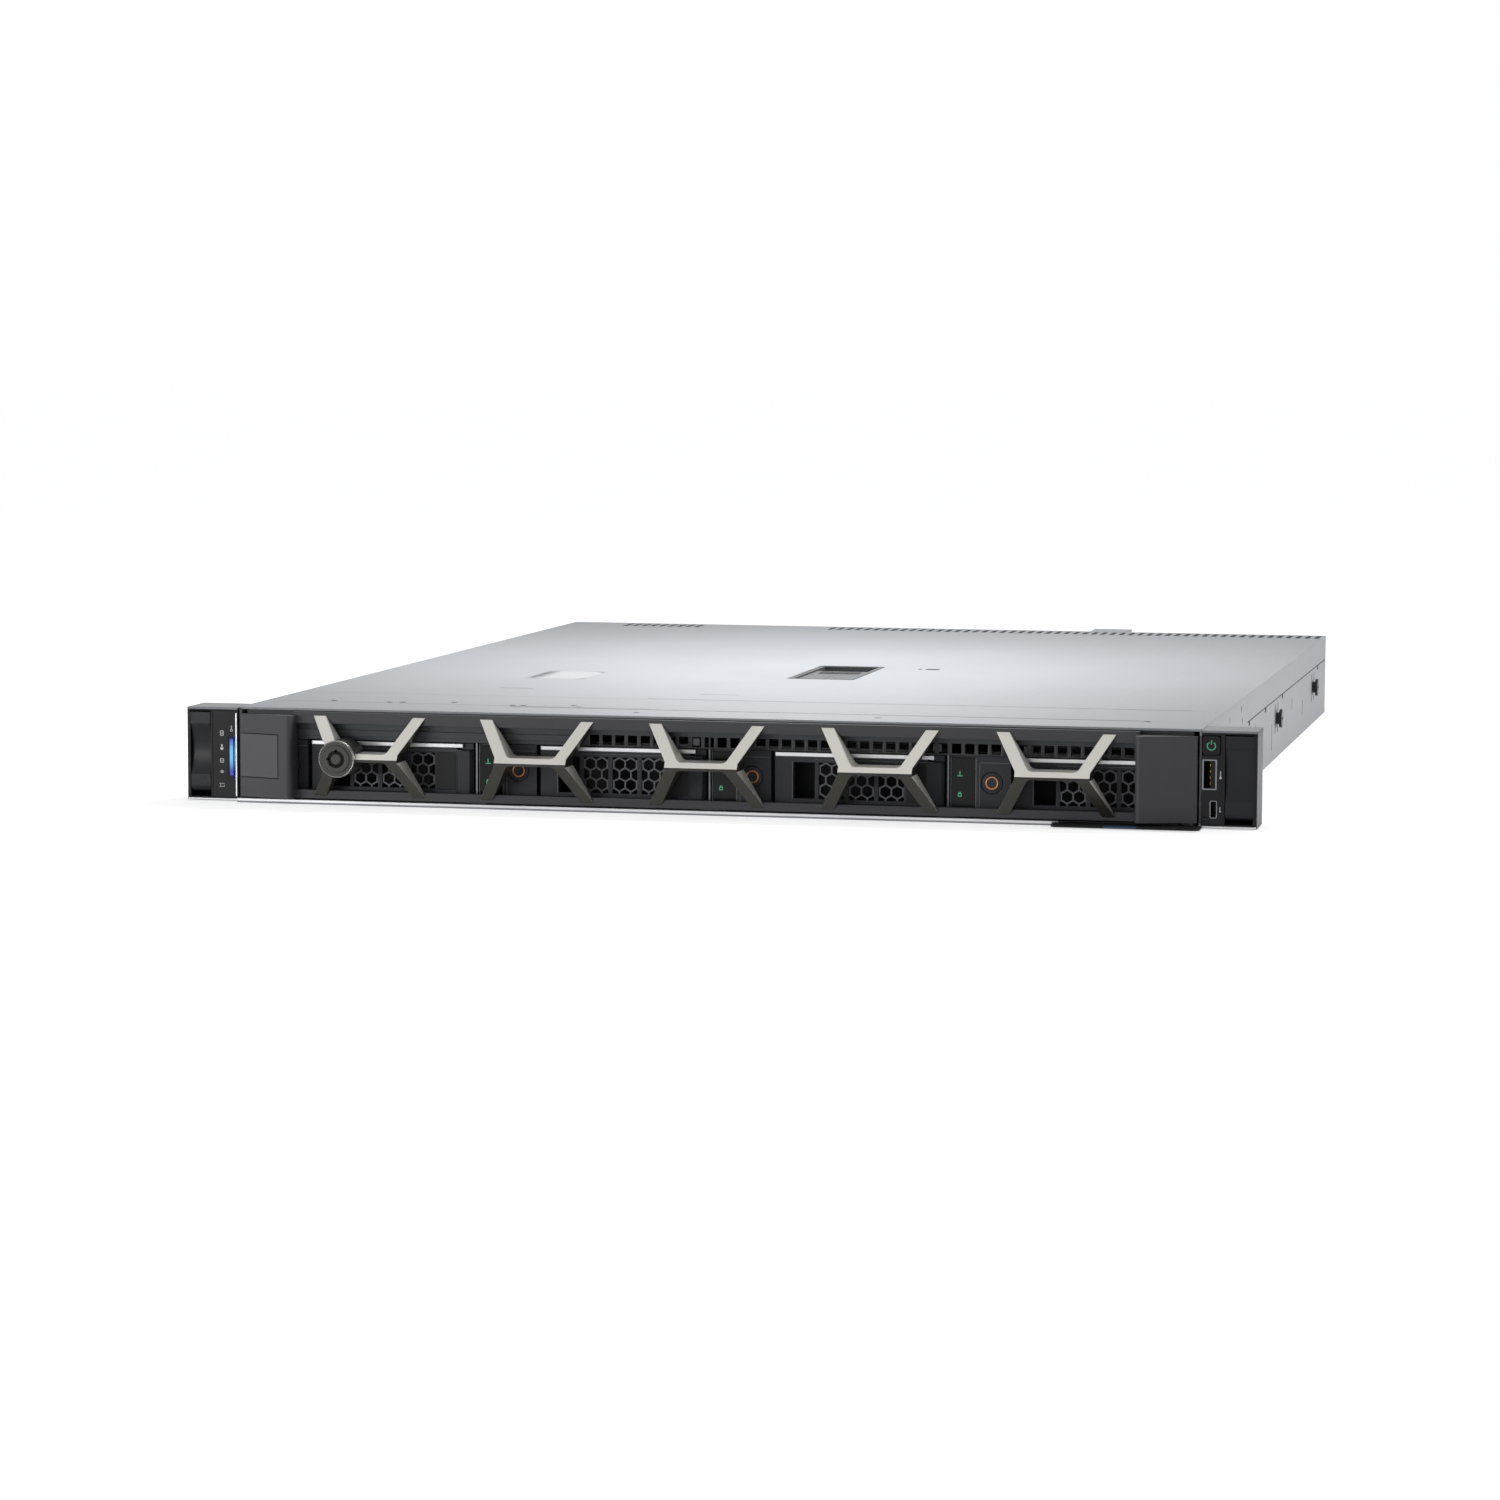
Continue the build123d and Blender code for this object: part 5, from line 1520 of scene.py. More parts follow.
    def port_marks(self) -> Surface:
        """Small plain marks beside the sockets."""
        x = 225.35
        return joined(
            [
                self.printed(rectangle(x, self.usb_z + 0.3, 0.35, 2.6, 0.15)),
                self.printed(ring_of(x, self.usb_z - 1.3, 0.5, 14)),
                self.printed(rectangle(x - 0.1, self.micro_z + 0.3, 0.3, 1.7, 0.1)),
                self.printed(ring_of(x, self.micro_z - 0.8, 0.35, 12)),
            ]
        )

    def build(self) -> None:
        """Dress the ears and add trims, marks, lights and contacts."""
        dress(EAR_SHEET, "left_ear_housing", "right_ear_housing")
        dress(LATCH_PLASTIC, "left_latch", "right_latch")
        dress(PANEL_BLACK, "left_control_panel", "right_control_panel")
        dress(LIGHT_BAR, "id_button")
        dress(EAR_BLACK, "power_button")
        dress(SOCKET_DARK, "panel_sockets")
        dress(STUD_STEEL, "latch_pins", "rack_screws")
        for name, side in (("left", -1), ("right", 1)):
            make_piece(f"{name}_ear_lining", self.trim(side), EAR_BLACK, "chassis")
            upper, lower = self.edge(side, 42.0, 0.95), self.edge(side, 1.05, 0.85)
            make_piece(f"{name}_ear_top_edge", upper, SHEET_LINE, "chassis")
            make_piece(f"{name}_ear_bottom_edge", lower, EDGE_STEEL, "chassis")
        make_piece(
            "left_latch_lip", self.lip(-239.2, -230.3), LATCH_PLASTIC, "left_latch"
        )
        make_piece(
            "right_latch_lip", self.lip(227.7, 239.2), LATCH_PLASTIC, "right_latch"
        )
        make_piece("status_icons", self.icons(), PRINT_WHITE, "chassis")
        line = slab(
            self.line_x + 0.45, 21.3, 0.7, 37.6, self.front - 0.5, self.front + 0.3, Facing.FRONT,
            0.1,
        )
        make_piece("panel_edge_line", line, EDGE_STEEL, "chassis")
        make_piece("light_bar_frame", self.bar_frame(), PANEL_BLACK, "id_button")
        make_piece("power_mark", self.power_mark(), POWER_GREEN, "power_button")
        make_piece("socket_contacts", self.contacts(), GOLD, "chassis")
        make_piece("socket_rims", self.socket_rims(), SOCKET_RIM, "chassis")
        make_piece("port_marks", self.port_marks(), PRINT_WHITE, "chassis")
        hole = turned(
            (
                (0, self.front + 0.03), (0.9, self.front + 0.03), (1.1, self.front + 0.12),
                (1.3, self.front - 0.05),
            ),
            218.3, 4.6, Facing.FRONT, 20,
        )
        make_piece("pin_hole", hole, GLOSS_BLACK, "chassis", 50)


@dataclass
class Bezel:
    """Bezel rails, caps, ribs and lock."""

    lock_x: float = -165.8
    lock_z: float = 22.0
    plug_face: float = 37.9
    ring_face: float = 37.4
    ring_radius: float = 8.25

    def keyway(self) -> Surface:
        """Dark notches of the keyway: one at the top and two at the left."""
        parts = []
        for angle, reach, width in ((90, 4.4, 1.1), (180, 4.5, 1.0), (222, 4.2, 0.8)):
            turn = np.radians(angle)
            local = rectangle((3.0 + reach) / 2, 0, reach - 3.0, width, 0.2, 3)
            spin = np.array([[np.cos(turn), -np.sin(turn)], [np.sin(turn), np.cos(turn)]])
            outline = local @ spin.T + np.array([self.lock_x, self.lock_z])
            parts.append(prism(outline, self.plug_face - 0.3, self.plug_face + 0.03, Facing.FRONT))
        outer = ring_of(self.lock_x, self.lock_z, 3.9)
        inner = ring_of(self.lock_x, self.lock_z, 2.25)
        parts.append(band(outer, inner, self.plug_face - 0.3, self.plug_face + 0.03, Facing.FRONT))
        return joined(parts)

    def collar(self) -> Surface:
        """Bright metal collar round the lock's ring, a closed band turned about Y: a painted
        highlight on the dark lock's chamfer.
        """
        radius, face = self.ring_radius, self.ring_face
        profile = (
            (radius - 0.35, face + 0.03),
            (radius + 0.02, face - 0.12),
            (radius + 0.10, face - 0.45),
            (radius + 0.10, face - 1.5),
            (radius - 0.35, face - 1.5),
        )
        return turned(profile, self.lock_x, self.lock_z, Facing.FRONT, 56, closed=True)

    def build(self) -> None:
        """Dress the bezel and add the lock's keyway and collar."""
        dress(BEZEL_PLASTIC, "bezel_frame")
        dress(CAP_PLASTIC, "bezel_release_button")
        # The ribs' finish paints light on their upper faces and shade on their sides and
        # undersides.
        dress(RIB_PAINTED_LIGHT_SHADE, "bezel_ribs")
        dress(LOCK_BODY, "lock_housing", "lock_cylinder")
        make_piece("keyway_notches", self.keyway(), MATT_BLACK, "lock")
        # Painted highlight: bright metal collar where the dark lock shows a highlight on its
        # chamfer.
        make_piece("lock_highlight_collar", self.collar(), BRIGHT_METAL, "bezel", 50)


@dataclass
class Carrier:
    """One drive carrier with its handle, button and lights."""

    number: int
    centre: float
    front: float = 18.0
    bays: tuple[float, ...] = (54.05, 67.35, 80.65)
    bay_width: float = 11.3
    z_low: float = 8.0
    z_high: float = 24.0
    left: float = field(init=False)

    def __post_init__(self) -> None:
        """Work out the carrier's left edge."""
        self.left = self.centre - CARRIER_HALF_WIDTH

    def box(
        self, x: tuple[float, float], z: tuple[float, float], low: float, high: float,
        chamfer: float = 0.0, corner: float = 0.0,
    ) -> Surface:
        """Plate with X measured from the carrier's left edge and heights from its front face."""
        middle = self.left + (x[0] + x[1]) / 2
        outline = rectangle(middle, (z[0] + z[1]) / 2, x[1] - x[0], z[1] - z[0], corner)
        return prism(outline, self.front + low, self.front + high, Facing.FRONT, chamfer)

    def handle_plate(self) -> Surface:
        """Handle's plate with the finger window and three grille bays left open."""
        x = [28.7, 37.0, 46.6, 48.4, 59.7, 61.7, 73.0, 75.0, 86.3, 96.8]
        solid = np.ones((3, len(x) - 1), bool)
        solid[1, [1, 3, 5, 7]] = False
        edges = [self.left + value for value in x]
        return cell_plate(
            edges, (3.2, self.z_low, self.z_high, 28.5), solid, self.front - 5.0, self.front,
            Facing.FRONT,
        )

    def knuckle(self) -> Surface:
        """Barrel at the handle's end that turns on the carrier's pin."""
        x, y = self.left + 101.3, -15.2
        outline = np.array(
            [[-4.6, -2.7], [1.1, -2.7], [2.7, -1.1], [2.7, 1.1], [1.1, 2.7], [-4.6, 2.7]], float
        ) + np.array([x, y])
        return prism(outline, 6.2, 25.5, Facing.TOP, 0.3)

    def web(self) -> Surface:
        """Honeycomb behind the three bays."""
        middle = (self.z_low + self.z_high) / 2
        height = self.z_high - self.z_low + 0.8
        return joined(
            honeycomb(
                self.left + x, middle + 0.4, self.bay_width + 1.2, height, 5.2, 0.75,
                self.front - 1.9, self.front - 0.5, Facing.FRONT,
            )
            for x in self.bays
        )

    def strips(self) -> Surface:
        """Thin raised lines under the bright strip and round the label."""
        return joined(
            [
                self.box((47.0, 99.4), (25.1, 25.5), -0.2, 0.22, 0.08),
                self.box((28.9, 99.4), (5.6, 6.0), -0.2, 0.18, 0.08),
                self.box((36.4, 36.9), (7.6, 24.4), -0.2, 0.18, 0.08),
            ]
        )

    def lines(self) -> Surface:
        """Thin raised borders of the light block and of the button's panel."""
        return joined(
            [
                self.box((11.2, 12.0), (4.0, 27.8), -0.6, 0.12, 0.1),
                self.box((0.2, 0.7), (3.2, 28.2), -1.2, -0.5, 0.1),
                self.box((13.0, 26.6), (25.6, 26.1), -0.2, 0.2, 0.08),
                self.box((13.0, 13.5), (4.6, 26.1), -0.2, 0.2, 0.08),
            ]
        )

    def lights(self) -> Surface:
        """Two lit marks: a small stand and a small can."""
        x, face = self.left + 4.4, self.front - 1.0
        upper, lower = 20.6, 11.6
        shapes = [
            rectangle(x, upper + 0.35, 0.5, 2.0, 0.1),
            rectangle(x, upper - 0.75, 2.4, 0.45, 0.1),
            rectangle(x, lower + 0.95, 1.1, 0.45, 0.1),
        ]
        marks = [prism(outline, face - SINK, face + 0.66, Facing.FRONT) for outline in shapes]
        can = band(
            rectangle(x, lower - 0.1, 1.7, 1.7, 0.4),
            rectangle(x, lower - 0.1, 0.8, 0.8, 0.2),
            face - SINK,
            face + 0.66,
            Facing.FRONT,
        )
        return joined([*marks, can])

    def ring(self) -> Surface:
        """Coloured ring on the button: a small round section turned about Y."""
        angles = np.linspace(0, 2 * np.pi, 10, endpoint=False)
        face = self.front - 0.4
        profile = [(2.55 + 0.34 * np.cos(t), face + 0.28 * np.sin(t)) for t in angles]
        return turned(profile, self.left + 18.5, 17.0, Facing.FRONT, 40, closed=True)

    def button_cap(self) -> Surface:
        """Button's face: a shallow dish with a step round it."""
        face = self.front - 0.4
        profile = (
            (0, face), (1.9, face + 0.02), (2.2, face + 0.10), (3.1, face + 0.10),
            (3.9, face + 0.02), (4.3, face - 0.3),
        )
        return turned(profile, self.left + 18.5, 17.0, Facing.FRONT, 40)

    def build(self) -> None:
        """Make the carrier's pieces, each on the body that it moves with."""
        n = self.number
        carrier, handle, release = f"carrier_{n}", f"handle_{n}", f"release_{n}"
        dress(CARRIER_PLASTIC, f"drive_carrier_{n}", f"carrier_button_{n}")
        dress(DISK_METAL, f"hard_disk_{n}")
        plate = make_piece(
            f"handle_plate_{n}", self.handle_plate() + self.knuckle(), CARRIER_PLASTIC, handle,
        )
        soften(plate, 0.3)
        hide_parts(f"carrier_handle_{n}")
        make_piece(f"handle_web_{n}", self.web(), WEB_PLASTIC, handle)
        strip = self.box((28.9, 99.6), (26.5, 28.45), -0.3, 0.6, 0.25)
        make_piece(f"handle_strip_{n}", strip, EDGE_STEEL, handle)
        make_piece(f"handle_lines_{n}", self.strips(), WEB_PLASTIC, handle)
        label = self.box((87.2, 96.2), (7.6, 24.4), -0.2, 0.12, 0.1, 0.5)
        make_piece(f"handle_label_{n}", label, PANEL_BLACK, handle)
        pane = self.box((0.7, 11.1), (3.6, 27.8), -1.3, -0.5, 0.15, 0.4)
        make_piece(f"light_pane_{n}", pane, GLOSS_BLACK, carrier)
        make_piece(f"light_marks_{n}", self.lights(), STATUS_GREEN, carrier)
        make_piece(f"carrier_lines_{n}", self.lines(), WEB_PLASTIC, carrier)
        make_piece(
            f"button_cap_{n}", self.button_cap(), CARRIER_PLASTIC, release, 50
        )
        make_piece(f"button_ring_{n}", self.ring(), COPPER_RING, release, 60)


@dataclass
class VentHeader:
    """Slotted header over the carriers, with thin bright lips between its slots."""

    front: float = 19.0
    slot_start: float = -55.0
    slot_pitch: float = 5.8
    slots: int = 45
    blocks: tuple[tuple[float, float], ...] = (
        (93.5, 97.5), (99.5, 103.5), (133.0, 137.5), (139.5, 143.5), (-8.0, -4.5),
    )

    def lips(self) -> Surface:
        """Thin uprights at the slots' edges, and a long line below them."""
        parts = []
        for i in range(self.slots):
            x = self.slot_start + i * self.slot_pitch
            parts.append(
                slab(x, 31.7, 0.45, 4.6, self.front - 0.3, self.front + 0.12, Facing.FRONT, 0.05)
            )
        parts.append(
            slab(79.0, 29.15, 268.0, 0.35, self.front - 0.3, self.front + 0.15, Facing.FRONT, 0.05)
        )
        return joined(parts)

    def plugs(self) -> Surface:
        """Grey blocks that show behind a few of the slots."""
        return joined(
            slab(
                (low + high) / 2, 31.8, high - low, 3.4, 15.2, self.front - 1.1, Facing.FRONT, 0.2,
                0.2,
            )
            for low, high in self.blocks
        )

    def build(self) -> None:
        """Dress the cage and add lips and blocks."""
        dress(CAGE, "drive_cage")
        make_piece("header_lips", self.lips(), LOCK_BODY, "chassis")
        make_piece("header_blocks", self.plugs(), WEB_PLASTIC, "chassis")


@dataclass
class InfoTag:
    """Slide-out tag under the right front corner."""

    edge: float = 35.3
    blue_left: float = 176.9
    blue_right: float = 191.1

    def build(self) -> None:
        """Dress the tag and its holder, and add the coloured touch strip and grip lines."""
        dress(PANEL_BLACK, "info_tag", "tag_holder")
        middle = (self.blue_left + self.blue_right) / 2
        strip = slab(
            middle, 1.1, self.blue_right - self.blue_left, 0.92, self.edge - 3.0, self.edge + 0.12,
            Facing.FRONT, 0.1,
        )
        make_piece("tag_touch_strip", strip, TAG_BLUE, "tag")
        grips = joined(
            slab(x, -30.0, 0.5, 7.0, 1.5, 1.68, Facing.TOP, 0.08, 0.2)
            for x in np.arange(196.0, 212.0, 2.0)
        )
        make_piece("tag_grip_lines", grips, PANEL_BLACK, "tag")


@dataclass
class CoverLatch:
    """Latch plate let into the cover, and the lever that lies in it."""

    level: float = 42.8
    middle: float = 4.5

    def grips(self) -> Surface:
        """Low cross ribs near the lever's free end, for the finger that lifts it."""
        return joined(
            slab(
                self.middle, y, 20.0, 0.9, self.level - 0.9, self.level - 0.45, Facing.TOP, 0.15,
                0.4,
            )
            for y in np.arange(241.0, 253.0, 2.4)
        )

    def arrow(self) -> Surface:
        """Plain arrow that points to the rear: a bar and a three-cornered head."""
        head = np.array([[-4.2, 222.0], [4.2, 222.0], [0.0, 229.0]]) + np.array([self.middle, 0.0])
        shaft = rectangle(self.middle, 216.5, 2.6, 11.0)
        level = self.level - 0.85
        heads = prism(head, level - SINK, level + 0.07, Facing.TOP)
        return heads + prism(shaft, level - SINK, level + 0.07, Facing.TOP)

    def border(self) -> Surface:
        """Low rolled edge of the plate that lies on the sheet."""
        outer = rectangle(self.middle, 238.0, 32.6, 81.6, 2.0)
        inner = rectangle(self.middle, 238.0, 30.6, 79.6, 1.4)
        return band(outer, inner, self.level - 0.2, self.level + 0.16, Facing.TOP, 0.1)

    def build(self) -> None:
        """Dress the plate and the lever and add the lever's grips, arrow and the plate's edge."""
        dress(LATCH_PLATE, "cover_latch_base", "cover_latch_lever")
        make_piece("latch_grips", self.grips(), LATCH_PLASTIC, "cover_latch")
        make_piece("latch_arrow", self.arrow(), LATCH_PLASTIC, "cover_latch")
        make_piece("latch_border", self.border(), LATCH_PLASTIC, "cover")


def blocks(
    rows: Iterable[tuple[float, float, float, float]], low: float, high: float, chamfer: float = 0.2
) -> Surface:
    """Upright blocks on a board, given as rows of middle X, middle Y, width and length."""
    return joined(
        slab(x, y, wide, long, low, high, Facing.TOP, chamfer) for x, y, wide, long in rows
    )


@dataclass
class MainBoard:
    """Parts on the motherboard, the memory modules and the backplane."""

    top: float = 8.6
    chips: tuple[tuple[float, float, float, float], ...] = (
        (-80.0, 300.0, 24.0, 24.0),
        (-82.0, 420.0, 18.0, 18.0),
        (-96.0, 480.0, 12.0, 12.0),
        (-58.0, 252.0, 10.0, 14.0),
        (172.0, 330.0, 20.0, 20.0),
        (-60.0, 500.0, 12.0, 9.0),
        (30.0, 500.0, 16.0, 16.0),
        (62.0, 455.0, 10.0, 10.0),
    )
    plugs: tuple[tuple[float, float, float, float], ...] = (
        (-98.0, 244.0, 34.0, 11.0),
        (-34.0, 243.0, 20.0, 9.0),
        (150.0, 243.0, 16.0, 7.0),
        (172.0, 243.0, 16.0, 7.0),
        (194.0, 243.0, 16.0, 7.0),
        (60.0, 243.0, 46.0, 6.0),
    )
    modules: tuple[float, ...] = (-25.0, -15.0, 105.0, 115.0)

    def cans(self) -> Surface:
        """Round capacitors: a can with a rolled foot and a scored top, turned about Z."""
        low = self.top
        profile = (
            (0, low + 8.0), (2.9, low + 8.0), (3.2, low + 7.7), (3.2, low + 1.6), (2.9, low + 1.2),
            (3.2, low + 0.8), (3.2, low - SINK),
        )
        places = [(x, y) for x in (-50.0, -41.0) for y in np.arange(284.0, 398.0, 14.0)]
        places += [(x, 432.0) for x in np.arange(-30.0, 30.0, 12.0)]
        return joined(turned(profile, x, y, Facing.TOP, 20) for x, y in places)

    def chokes(self) -> Surface:
        """Square coils in a row in front of the cooler and beside it."""
        rows = [(x, 264.0, 9.0, 9.0) for x in np.arange(6.0, 90.0, 12.0)]
        rows += [(134.0, y, 9.0, 9.0) for y in np.arange(284.0, 400.0, 13.0)]
        return blocks(rows, self.top - SINK, self.top + 5.4, 0.6)

    def small_parts(self) -> Surface:
        """Tiny parts spread over the open areas of the board by a fixed seed."""
        spread = np.random.default_rng(7)
        x = np.concatenate([spread.uniform(-114, -56, 120), spread.uniform(146, 204, 90)])
        y = np.concatenate([spread.uniform(262, 530, 120), spread.uniform(258, 404, 90)])
        turn = spread.integers(0, 2, len(x))
        rows = [(a, b, 2.0 - 0.9 * t, 1.1 + 0.9 * t) for a, b, t in zip(x, y, turn)]
        return blocks(rows, self.top - SINK, self.top + 0.75, 0.0)

    def cell(self) -> Surface:
        """Flat round cell with a stepped rim, turned about Z."""
        low = self.top + 1.6
        profile = (
            (0, low + 3.2), (8.6, low + 3.2), (8.9, low + 2.9), (9.8, low + 2.7), (10.0, low + 2.3),
            (10.0, low - 0.2),
        )
        return turned(profile, 176.0, 378.0, Facing.TOP, 48)

    def cooler(self) -> Surface:
        """Small finned cooler on the second largest chip."""
        base = blocks([(172.0, 290.0, 34.0, 34.0)], self.top - SINK, self.top + 3.0)
        fins = blocks(
            [(x, 290.0, 1.0, 34.0) for x in np.arange(156.5, 188.0, 3.4)], self.top + 2.9,
            self.top + 12.0, 0.0,
        )
        return base + fins

    def memory_chips(self) -> Surface:
        """Black chips on both faces of every memory module, nine to a side."""
        parts = []
        for x in self.modules:
            for facing, side in ((Facing.RIGHT, 1), (Facing.LEFT, -1)):
                for y in np.linspace(285.0, 395.0, 9):
                    outline = rectangle(y, 29.0, 9.4, 12.0)
                    parts.append(prism(outline, side * x + 0.55, side * x + 1.45, facing, 0.15))
        return joined(parts)

    def screws(self) -> Surface:
        """Pan-head screws over the tray's standoffs, turned about Z."""
        low = self.top
        profile = (
            (0, low + 1.2), (0.9, low + 1.2), (1.1, low + 1.9), (2.4, low + 1.7), (3.0, low + 1.0),
            (3.1, low - SINK),
        )
        places = [(x, y) for x in (-108.0, 198.0) for y in (247.0, 393.5, 512.0)]
        return joined(turned(profile, x, y, Facing.TOP, 24) for x, y in places)

    def build(self) -> None:
        """Dress the boards and add their parts."""
        dress(BOARD, "backplane", "motherboard", "riser_card", "memory_modules")
        dress(LID_METAL, "processor")
        dress(FIN_METAL, "heat_sink")
        dress(MATT_BLACK, "memory_sockets", "air_shroud")
        pieces = (
            (
                "board_chips", blocks(self.chips, self.top - SINK, self.top + 2.0, 0.3),
                GLOSS_BLACK, "black_plastic",
            ),
            (
                "board_plugs", blocks(self.plugs, self.top - SINK, self.top + 9.0, 0.4), MATT_BLACK,
                "black_plastic",
            ),
            ("board_capacitors", self.cans(), LID_METAL, "processor_metal"),
            ("board_chokes", self.chokes(), LATCH_PLATE, "black_plastic"),
            ("board_small_parts", self.small_parts(), WEB_PLASTIC, "black_plastic"),
            ("board_cell", self.cell(), BRIGHT_METAL, "processor_metal"),
            (
                "board_cell_holder",
                blocks([(176.0, 378.0, 24.0, 22.0)], self.top - SINK, self.top + 2.2, 0.4),
                MATT_BLACK, "black_plastic",
            ),
            ("board_cooler", self.cooler(), FIN_METAL, "heat_sink_aluminium"),
            ("board_screws", self.screws(), BRIGHT_METAL, "processor_metal"),
            ("memory_chips", self.memory_chips(), GLOSS_BLACK, "black_plastic"),
        )
        for name, surface, finish, slot in pieces:
            make_piece(name, surface, finish, "chassis")


@dataclass
class Cooling:
    """Fan frames, their rotors' hubs and the bolts that hold them."""

    centres: tuple[float, ...] = (-33.0, 13.0, 59.0, 105.0)
    level: float = 21.0
    frame_front: float = 165.0
    hub_front: float = 171.7

    def collars(self) -> Surface:
        """Raised ring round each bore, and a rubber bolt at each corner, on the front faces."""
        face = -self.frame_front
        rings = [
            band(
                ring_of(x, self.level, 19.6, 48), ring_of(x, self.level, 18.9, 48), face - SINK,
                face + 0.6, Facing.FRONT, 0.15,
            )
            for x in self.centres
        ]
        profile = ((0, face + 0.9), (1.6, face + 0.9), (2.1, face + 0.4), (2.1, face - SINK))
        bolts = [
            turned(profile, x + across * 17.0, self.level + up * 17.0, Facing.FRONT, 16)
            for x in self.centres
            for across in (-1, 1)
            for up in (-1, 1)
        ]
        return joined([*rings, *bolts])

    def hub(self, x: float) -> Surface:
        """Face of a rotor's hub: a domed disc with a groove, turned about Y."""
        face = -self.hub_front
        profile = (
            (0, face + 0.5), (3.0, face + 0.5), (3.4, face + 0.2), (3.8, face + 0.5),
            (7.8, face + 0.4), (8.7, face - SINK),
        )
        return turned(profile, x, self.level, Facing.FRONT, 40)

    def build(self) -> None:
        """Dress the fans and add collars and hub faces."""
        dress(MATT_BLACK, "fan_housings", *(f"fan_rotor_{n}" for n in BAY_NUMBERS))
        make_piece("fan_collars", self.collars(), PANEL_BLACK, "chassis")
        for number, x in zip(BAY_NUMBERS, self.centres):
            make_piece(
                f"fan_hub_{number}", self.hub(x), LID_METAL, f"fan_{number}", 50
            )


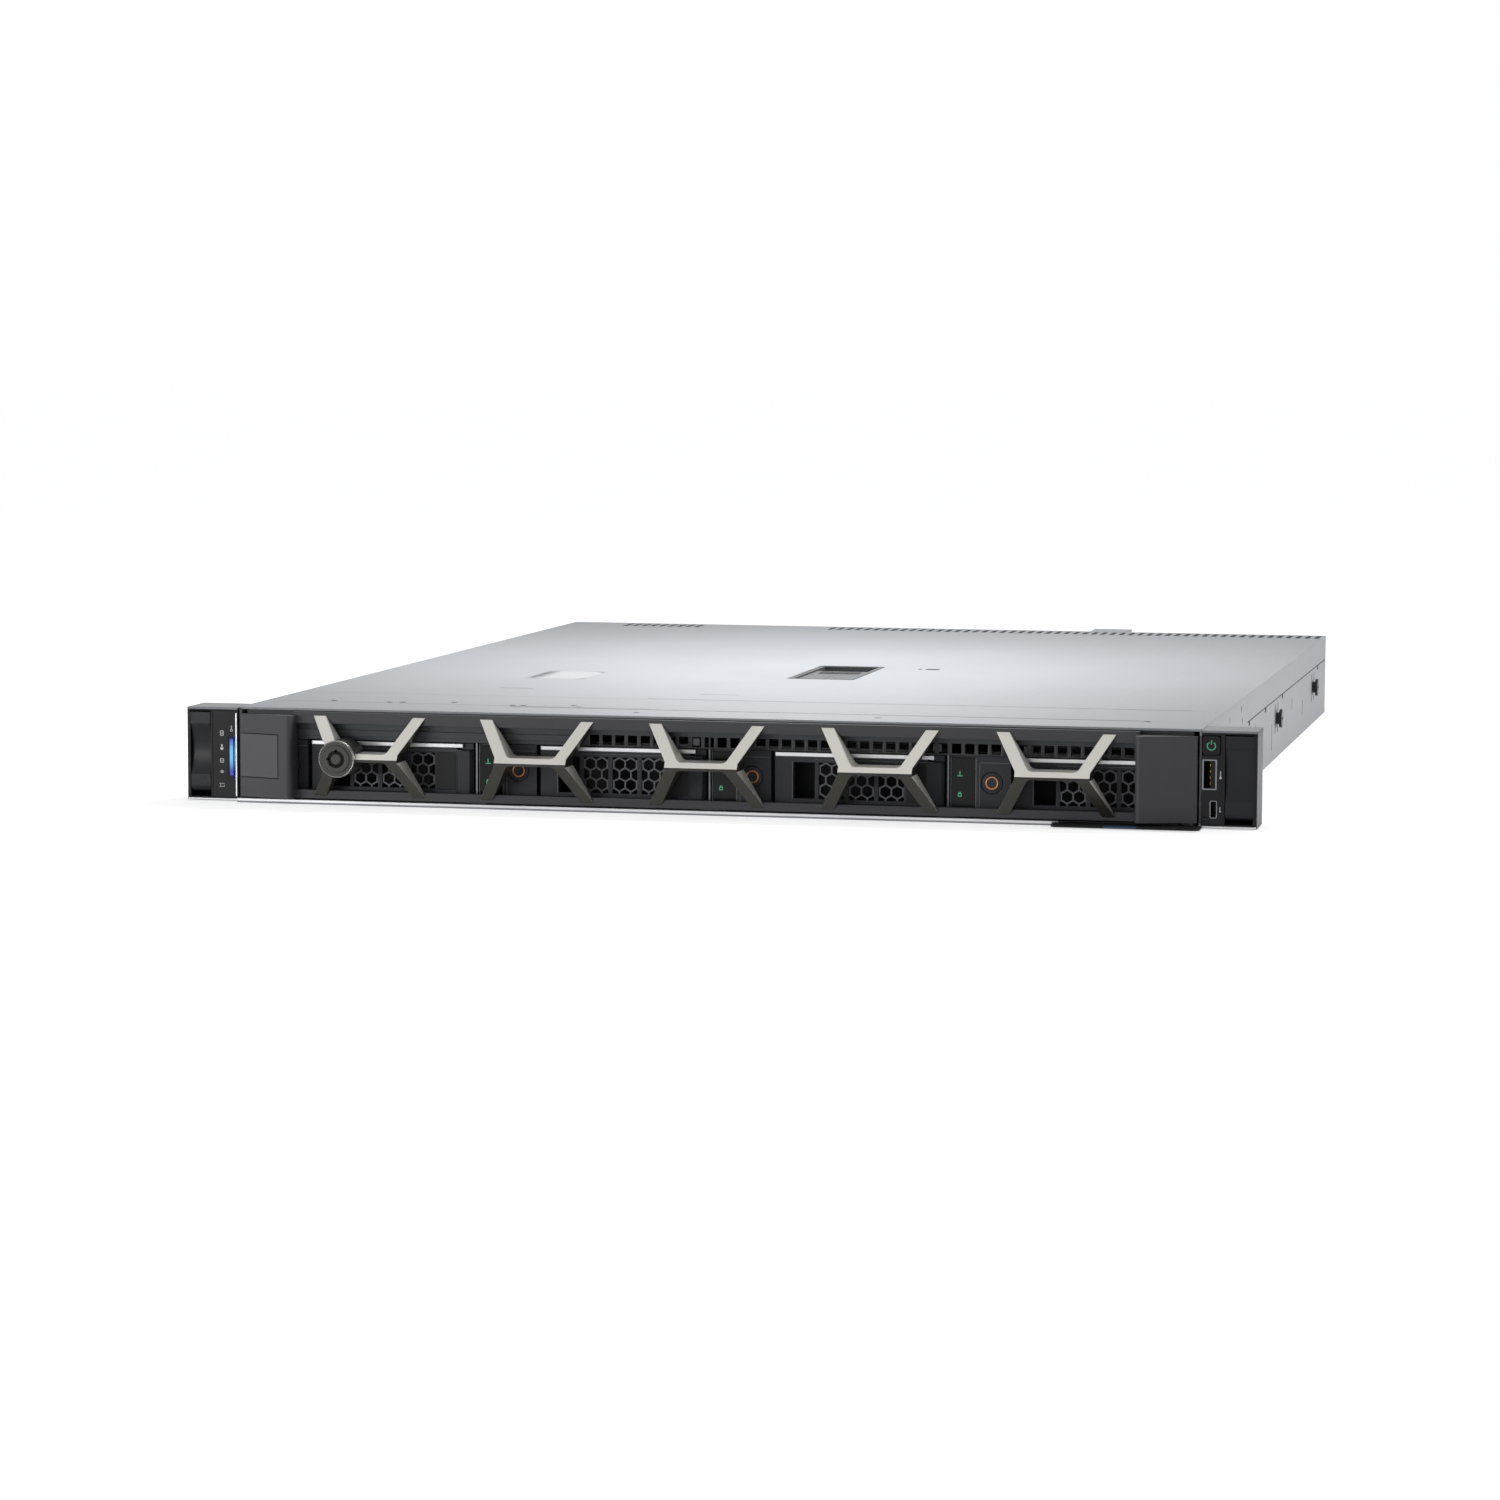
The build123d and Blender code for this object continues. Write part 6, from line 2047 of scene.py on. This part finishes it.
@dataclass
class Rear:
    """Power supply and ports in the rear wall."""

    face: float = 563.0
    fan_x: float = -153.5
    fan_z: float = 20.5
    jacks: tuple[float, ...] = (-108.0, -90.0, -68.0)
    stack_x: float = -48.0
    screen_x: float = -20.0
    board_top: float = 8.6

    def grille(self) -> Surface:
        """Wire guard of the power supply's fan: three rings and two crossed bars."""
        level = self.face + 1.1
        angles = np.linspace(0, 2 * np.pi, 48, endpoint=False)
        wires = []
        for radius in (5.5, 10.5, 15.5):
            path = np.stack(
                [
                    self.fan_x + radius * np.cos(angles), np.full(48, level),
                    self.fan_z + radius * np.sin(angles),
                ],
                axis=-1
            )
            wires.append(tube(path, 0.6, 8, closed=True))
        for turn in (np.pi / 4, 3 * np.pi / 4):
            reach = np.array([-17.6, 17.6])
            path = np.stack(
                [
                    self.fan_x + reach * np.cos(turn), np.full(2, level),
                    self.fan_z + reach * np.sin(turn),
                ],
                axis=-1,
            )
            wires.append(tube(path, 0.6, 8))
        return joined(wires)

    def handle(self) -> Surface:
        """Bent pull handle of the power supply: a half ellipse that stands out behind it."""
        angles = np.linspace(0, np.pi, 17)
        path = np.stack(
            [
                np.full(17, -176.0), self.face - 0.3 + 13.0 * np.sin(angles),
                20.5 + 12.0 * np.cos(angles),
            ],
            axis=-1
        )
        return tube(path, 1.5, 12)

    def jack_contacts(self) -> Surface:
        """Eight thin contacts in the roof of each network jack."""
        return joined(
            slab(x - 3.5 + i, 17.9, 0.45, 1.1, self.face - 11.5, self.face - 2.0, Facing.REAR)
            for x in self.jacks
            for i in range(8)
        )

    def jack_lights(self) -> Surface:
        """Two small light windows over each network jack."""
        return joined(
            slab(
                x + side * 5.4, 20.4, 2.6, 1.5, self.face - 0.5, self.face + 0.12, Facing.REAR,
                0.05, 0.2,
            )
            for x in self.jacks
            for side in (-1, 1)
        )

    def screen_plug(self) -> Surface:
        """Raised metal collar of the screen socket and its two hexagonal posts."""
        z = self.board_top + 6.25
        outer = rectangle(self.screen_x, z, 17.6, 8.6, 2.6)
        collar = band(outer, inset(outer, 0.5), self.face - 0.4, self.face + 3.4, Facing.REAR, 0.15)
        posts = [
            prism(
                ring_of(self.screen_x + side * 12.4, z, 2.5, 6), self.face - 0.2, self.face + 3.0,
                Facing.REAR, 0.4,
            )
            for side in (-1, 1)
        ]
        return joined([collar, *posts])

    def screen_insert(self) -> Surface:
        """Coloured body inside the collar of the screen socket."""
        outline = rectangle(self.screen_x, self.board_top + 6.25, 16.4, 7.4, 2.2)
        return prism(outline, self.face - 0.2, self.face + 2.4, Facing.REAR, 0.2)

    def screen_holes(self) -> Surface:
        """Three rows of dark pin holes in that body."""
        z = self.board_top + 6.25
        return joined(
            prism(
                ring_of(self.screen_x + (i - 2) * 2.3 + 0.5 * row, z + 2.0 * row, 0.5, 10),
                self.face + 2.3, self.face + 2.44, Facing.REAR,
            )
            for row in (-1, 0, 1)
            for i in range(5)
        )

    def tongues(self) -> Surface:
        """Coloured tongues in the two stacked sockets."""
        return joined(
            slab(
                self.stack_x, self.board_top + level + 2.8, 11.6, 1.7, self.face - 8.0,
                self.face - 0.7, Facing.REAR, 0.1,
            )
            for level in (1.2, 8.4)
        )

    def build(self) -> None:
        """Dress the rear pieces and add their details."""
        dress(CASE_METAL, "psu_case")
        dress(MATT_BLACK, "psu_fan_rotor", "power_inlet")
        dress(SOCKET_METAL, "rear_ports")
        pieces = (
            ("supply_fan_guard", self.grille(), STUD_STEEL, "psu_metal"),
            ("supply_handle", self.handle(), LATCH_PLASTIC, "black_plastic"),
            ("jack_contacts", self.jack_contacts(), GOLD, "socket_metal"),
            ("jack_lights", self.jack_lights(), POWER_GREEN, "black_plastic"),
            ("screen_socket_collar", self.screen_plug(), BRIGHT_METAL, "socket_metal"),
            ("screen_socket_body", self.screen_insert(), PORT_BLUE, "black_plastic"),
            ("screen_socket_holes", self.screen_holes(), GLOSS_BLACK, "black_plastic"),
            ("stacked_socket_tongues", self.tongues(), PORT_BLUE, "black_plastic"),
        )
        for name, surface, finish, slot in pieces:
            make_piece(name, surface, finish, "chassis")


@dataclass
class DiskTop:
    """Blank label and screws on a hard disk's lid."""

    number: int
    centre: float
    level: float = 28.7

    def build(self) -> None:
        """Add the label and six screws."""
        body = f"carrier_{self.number}"
        label = slab(
            self.centre, 58.0, 74.0, 62.0, self.level - SINK, self.level + 0.08, Facing.TOP,
            corner=2.0,
        )
        make_piece(f"disk_label_{self.number}", label, PRINT_WHITE, body)
        low = self.level
        profile = (
            (0, low + 0.1), (0.9, low + 0.1), (1.1, low + 0.22), (2.0, low + 0.22),
            (2.3, low - SINK),
        )
        spots = [(self.centre + side * 42.0, y) for side in (-1, 1) for y in (16.0, 72.0, 130.0)]
        screws = joined(turned(profile, x, y, Facing.TOP, 20) for x, y in spots)
        make_piece(f"disk_screws_{self.number}", screws, STUD_STEEL, body, 50)


def main() -> None:
    """Build the studio and every sub-assembly in order."""
    logging.basicConfig(level=logging.INFO, format="%(name)s %(message)s")
    Studio().build()
    TopSheet().build()
    SideWall().build()
    Ears().build()
    Bezel().build()
    for number, centre in zip(BAY_NUMBERS, BAY_CENTRES):
        Carrier(number, centre).build()
        DiskTop(number, centre).build()
    VentHeader().build()
    InfoTag().build()
    CoverLatch().build()
    MainBoard().build()
    Cooling().build()
    Rear().build()


if __name__ == "__main__":
    main()
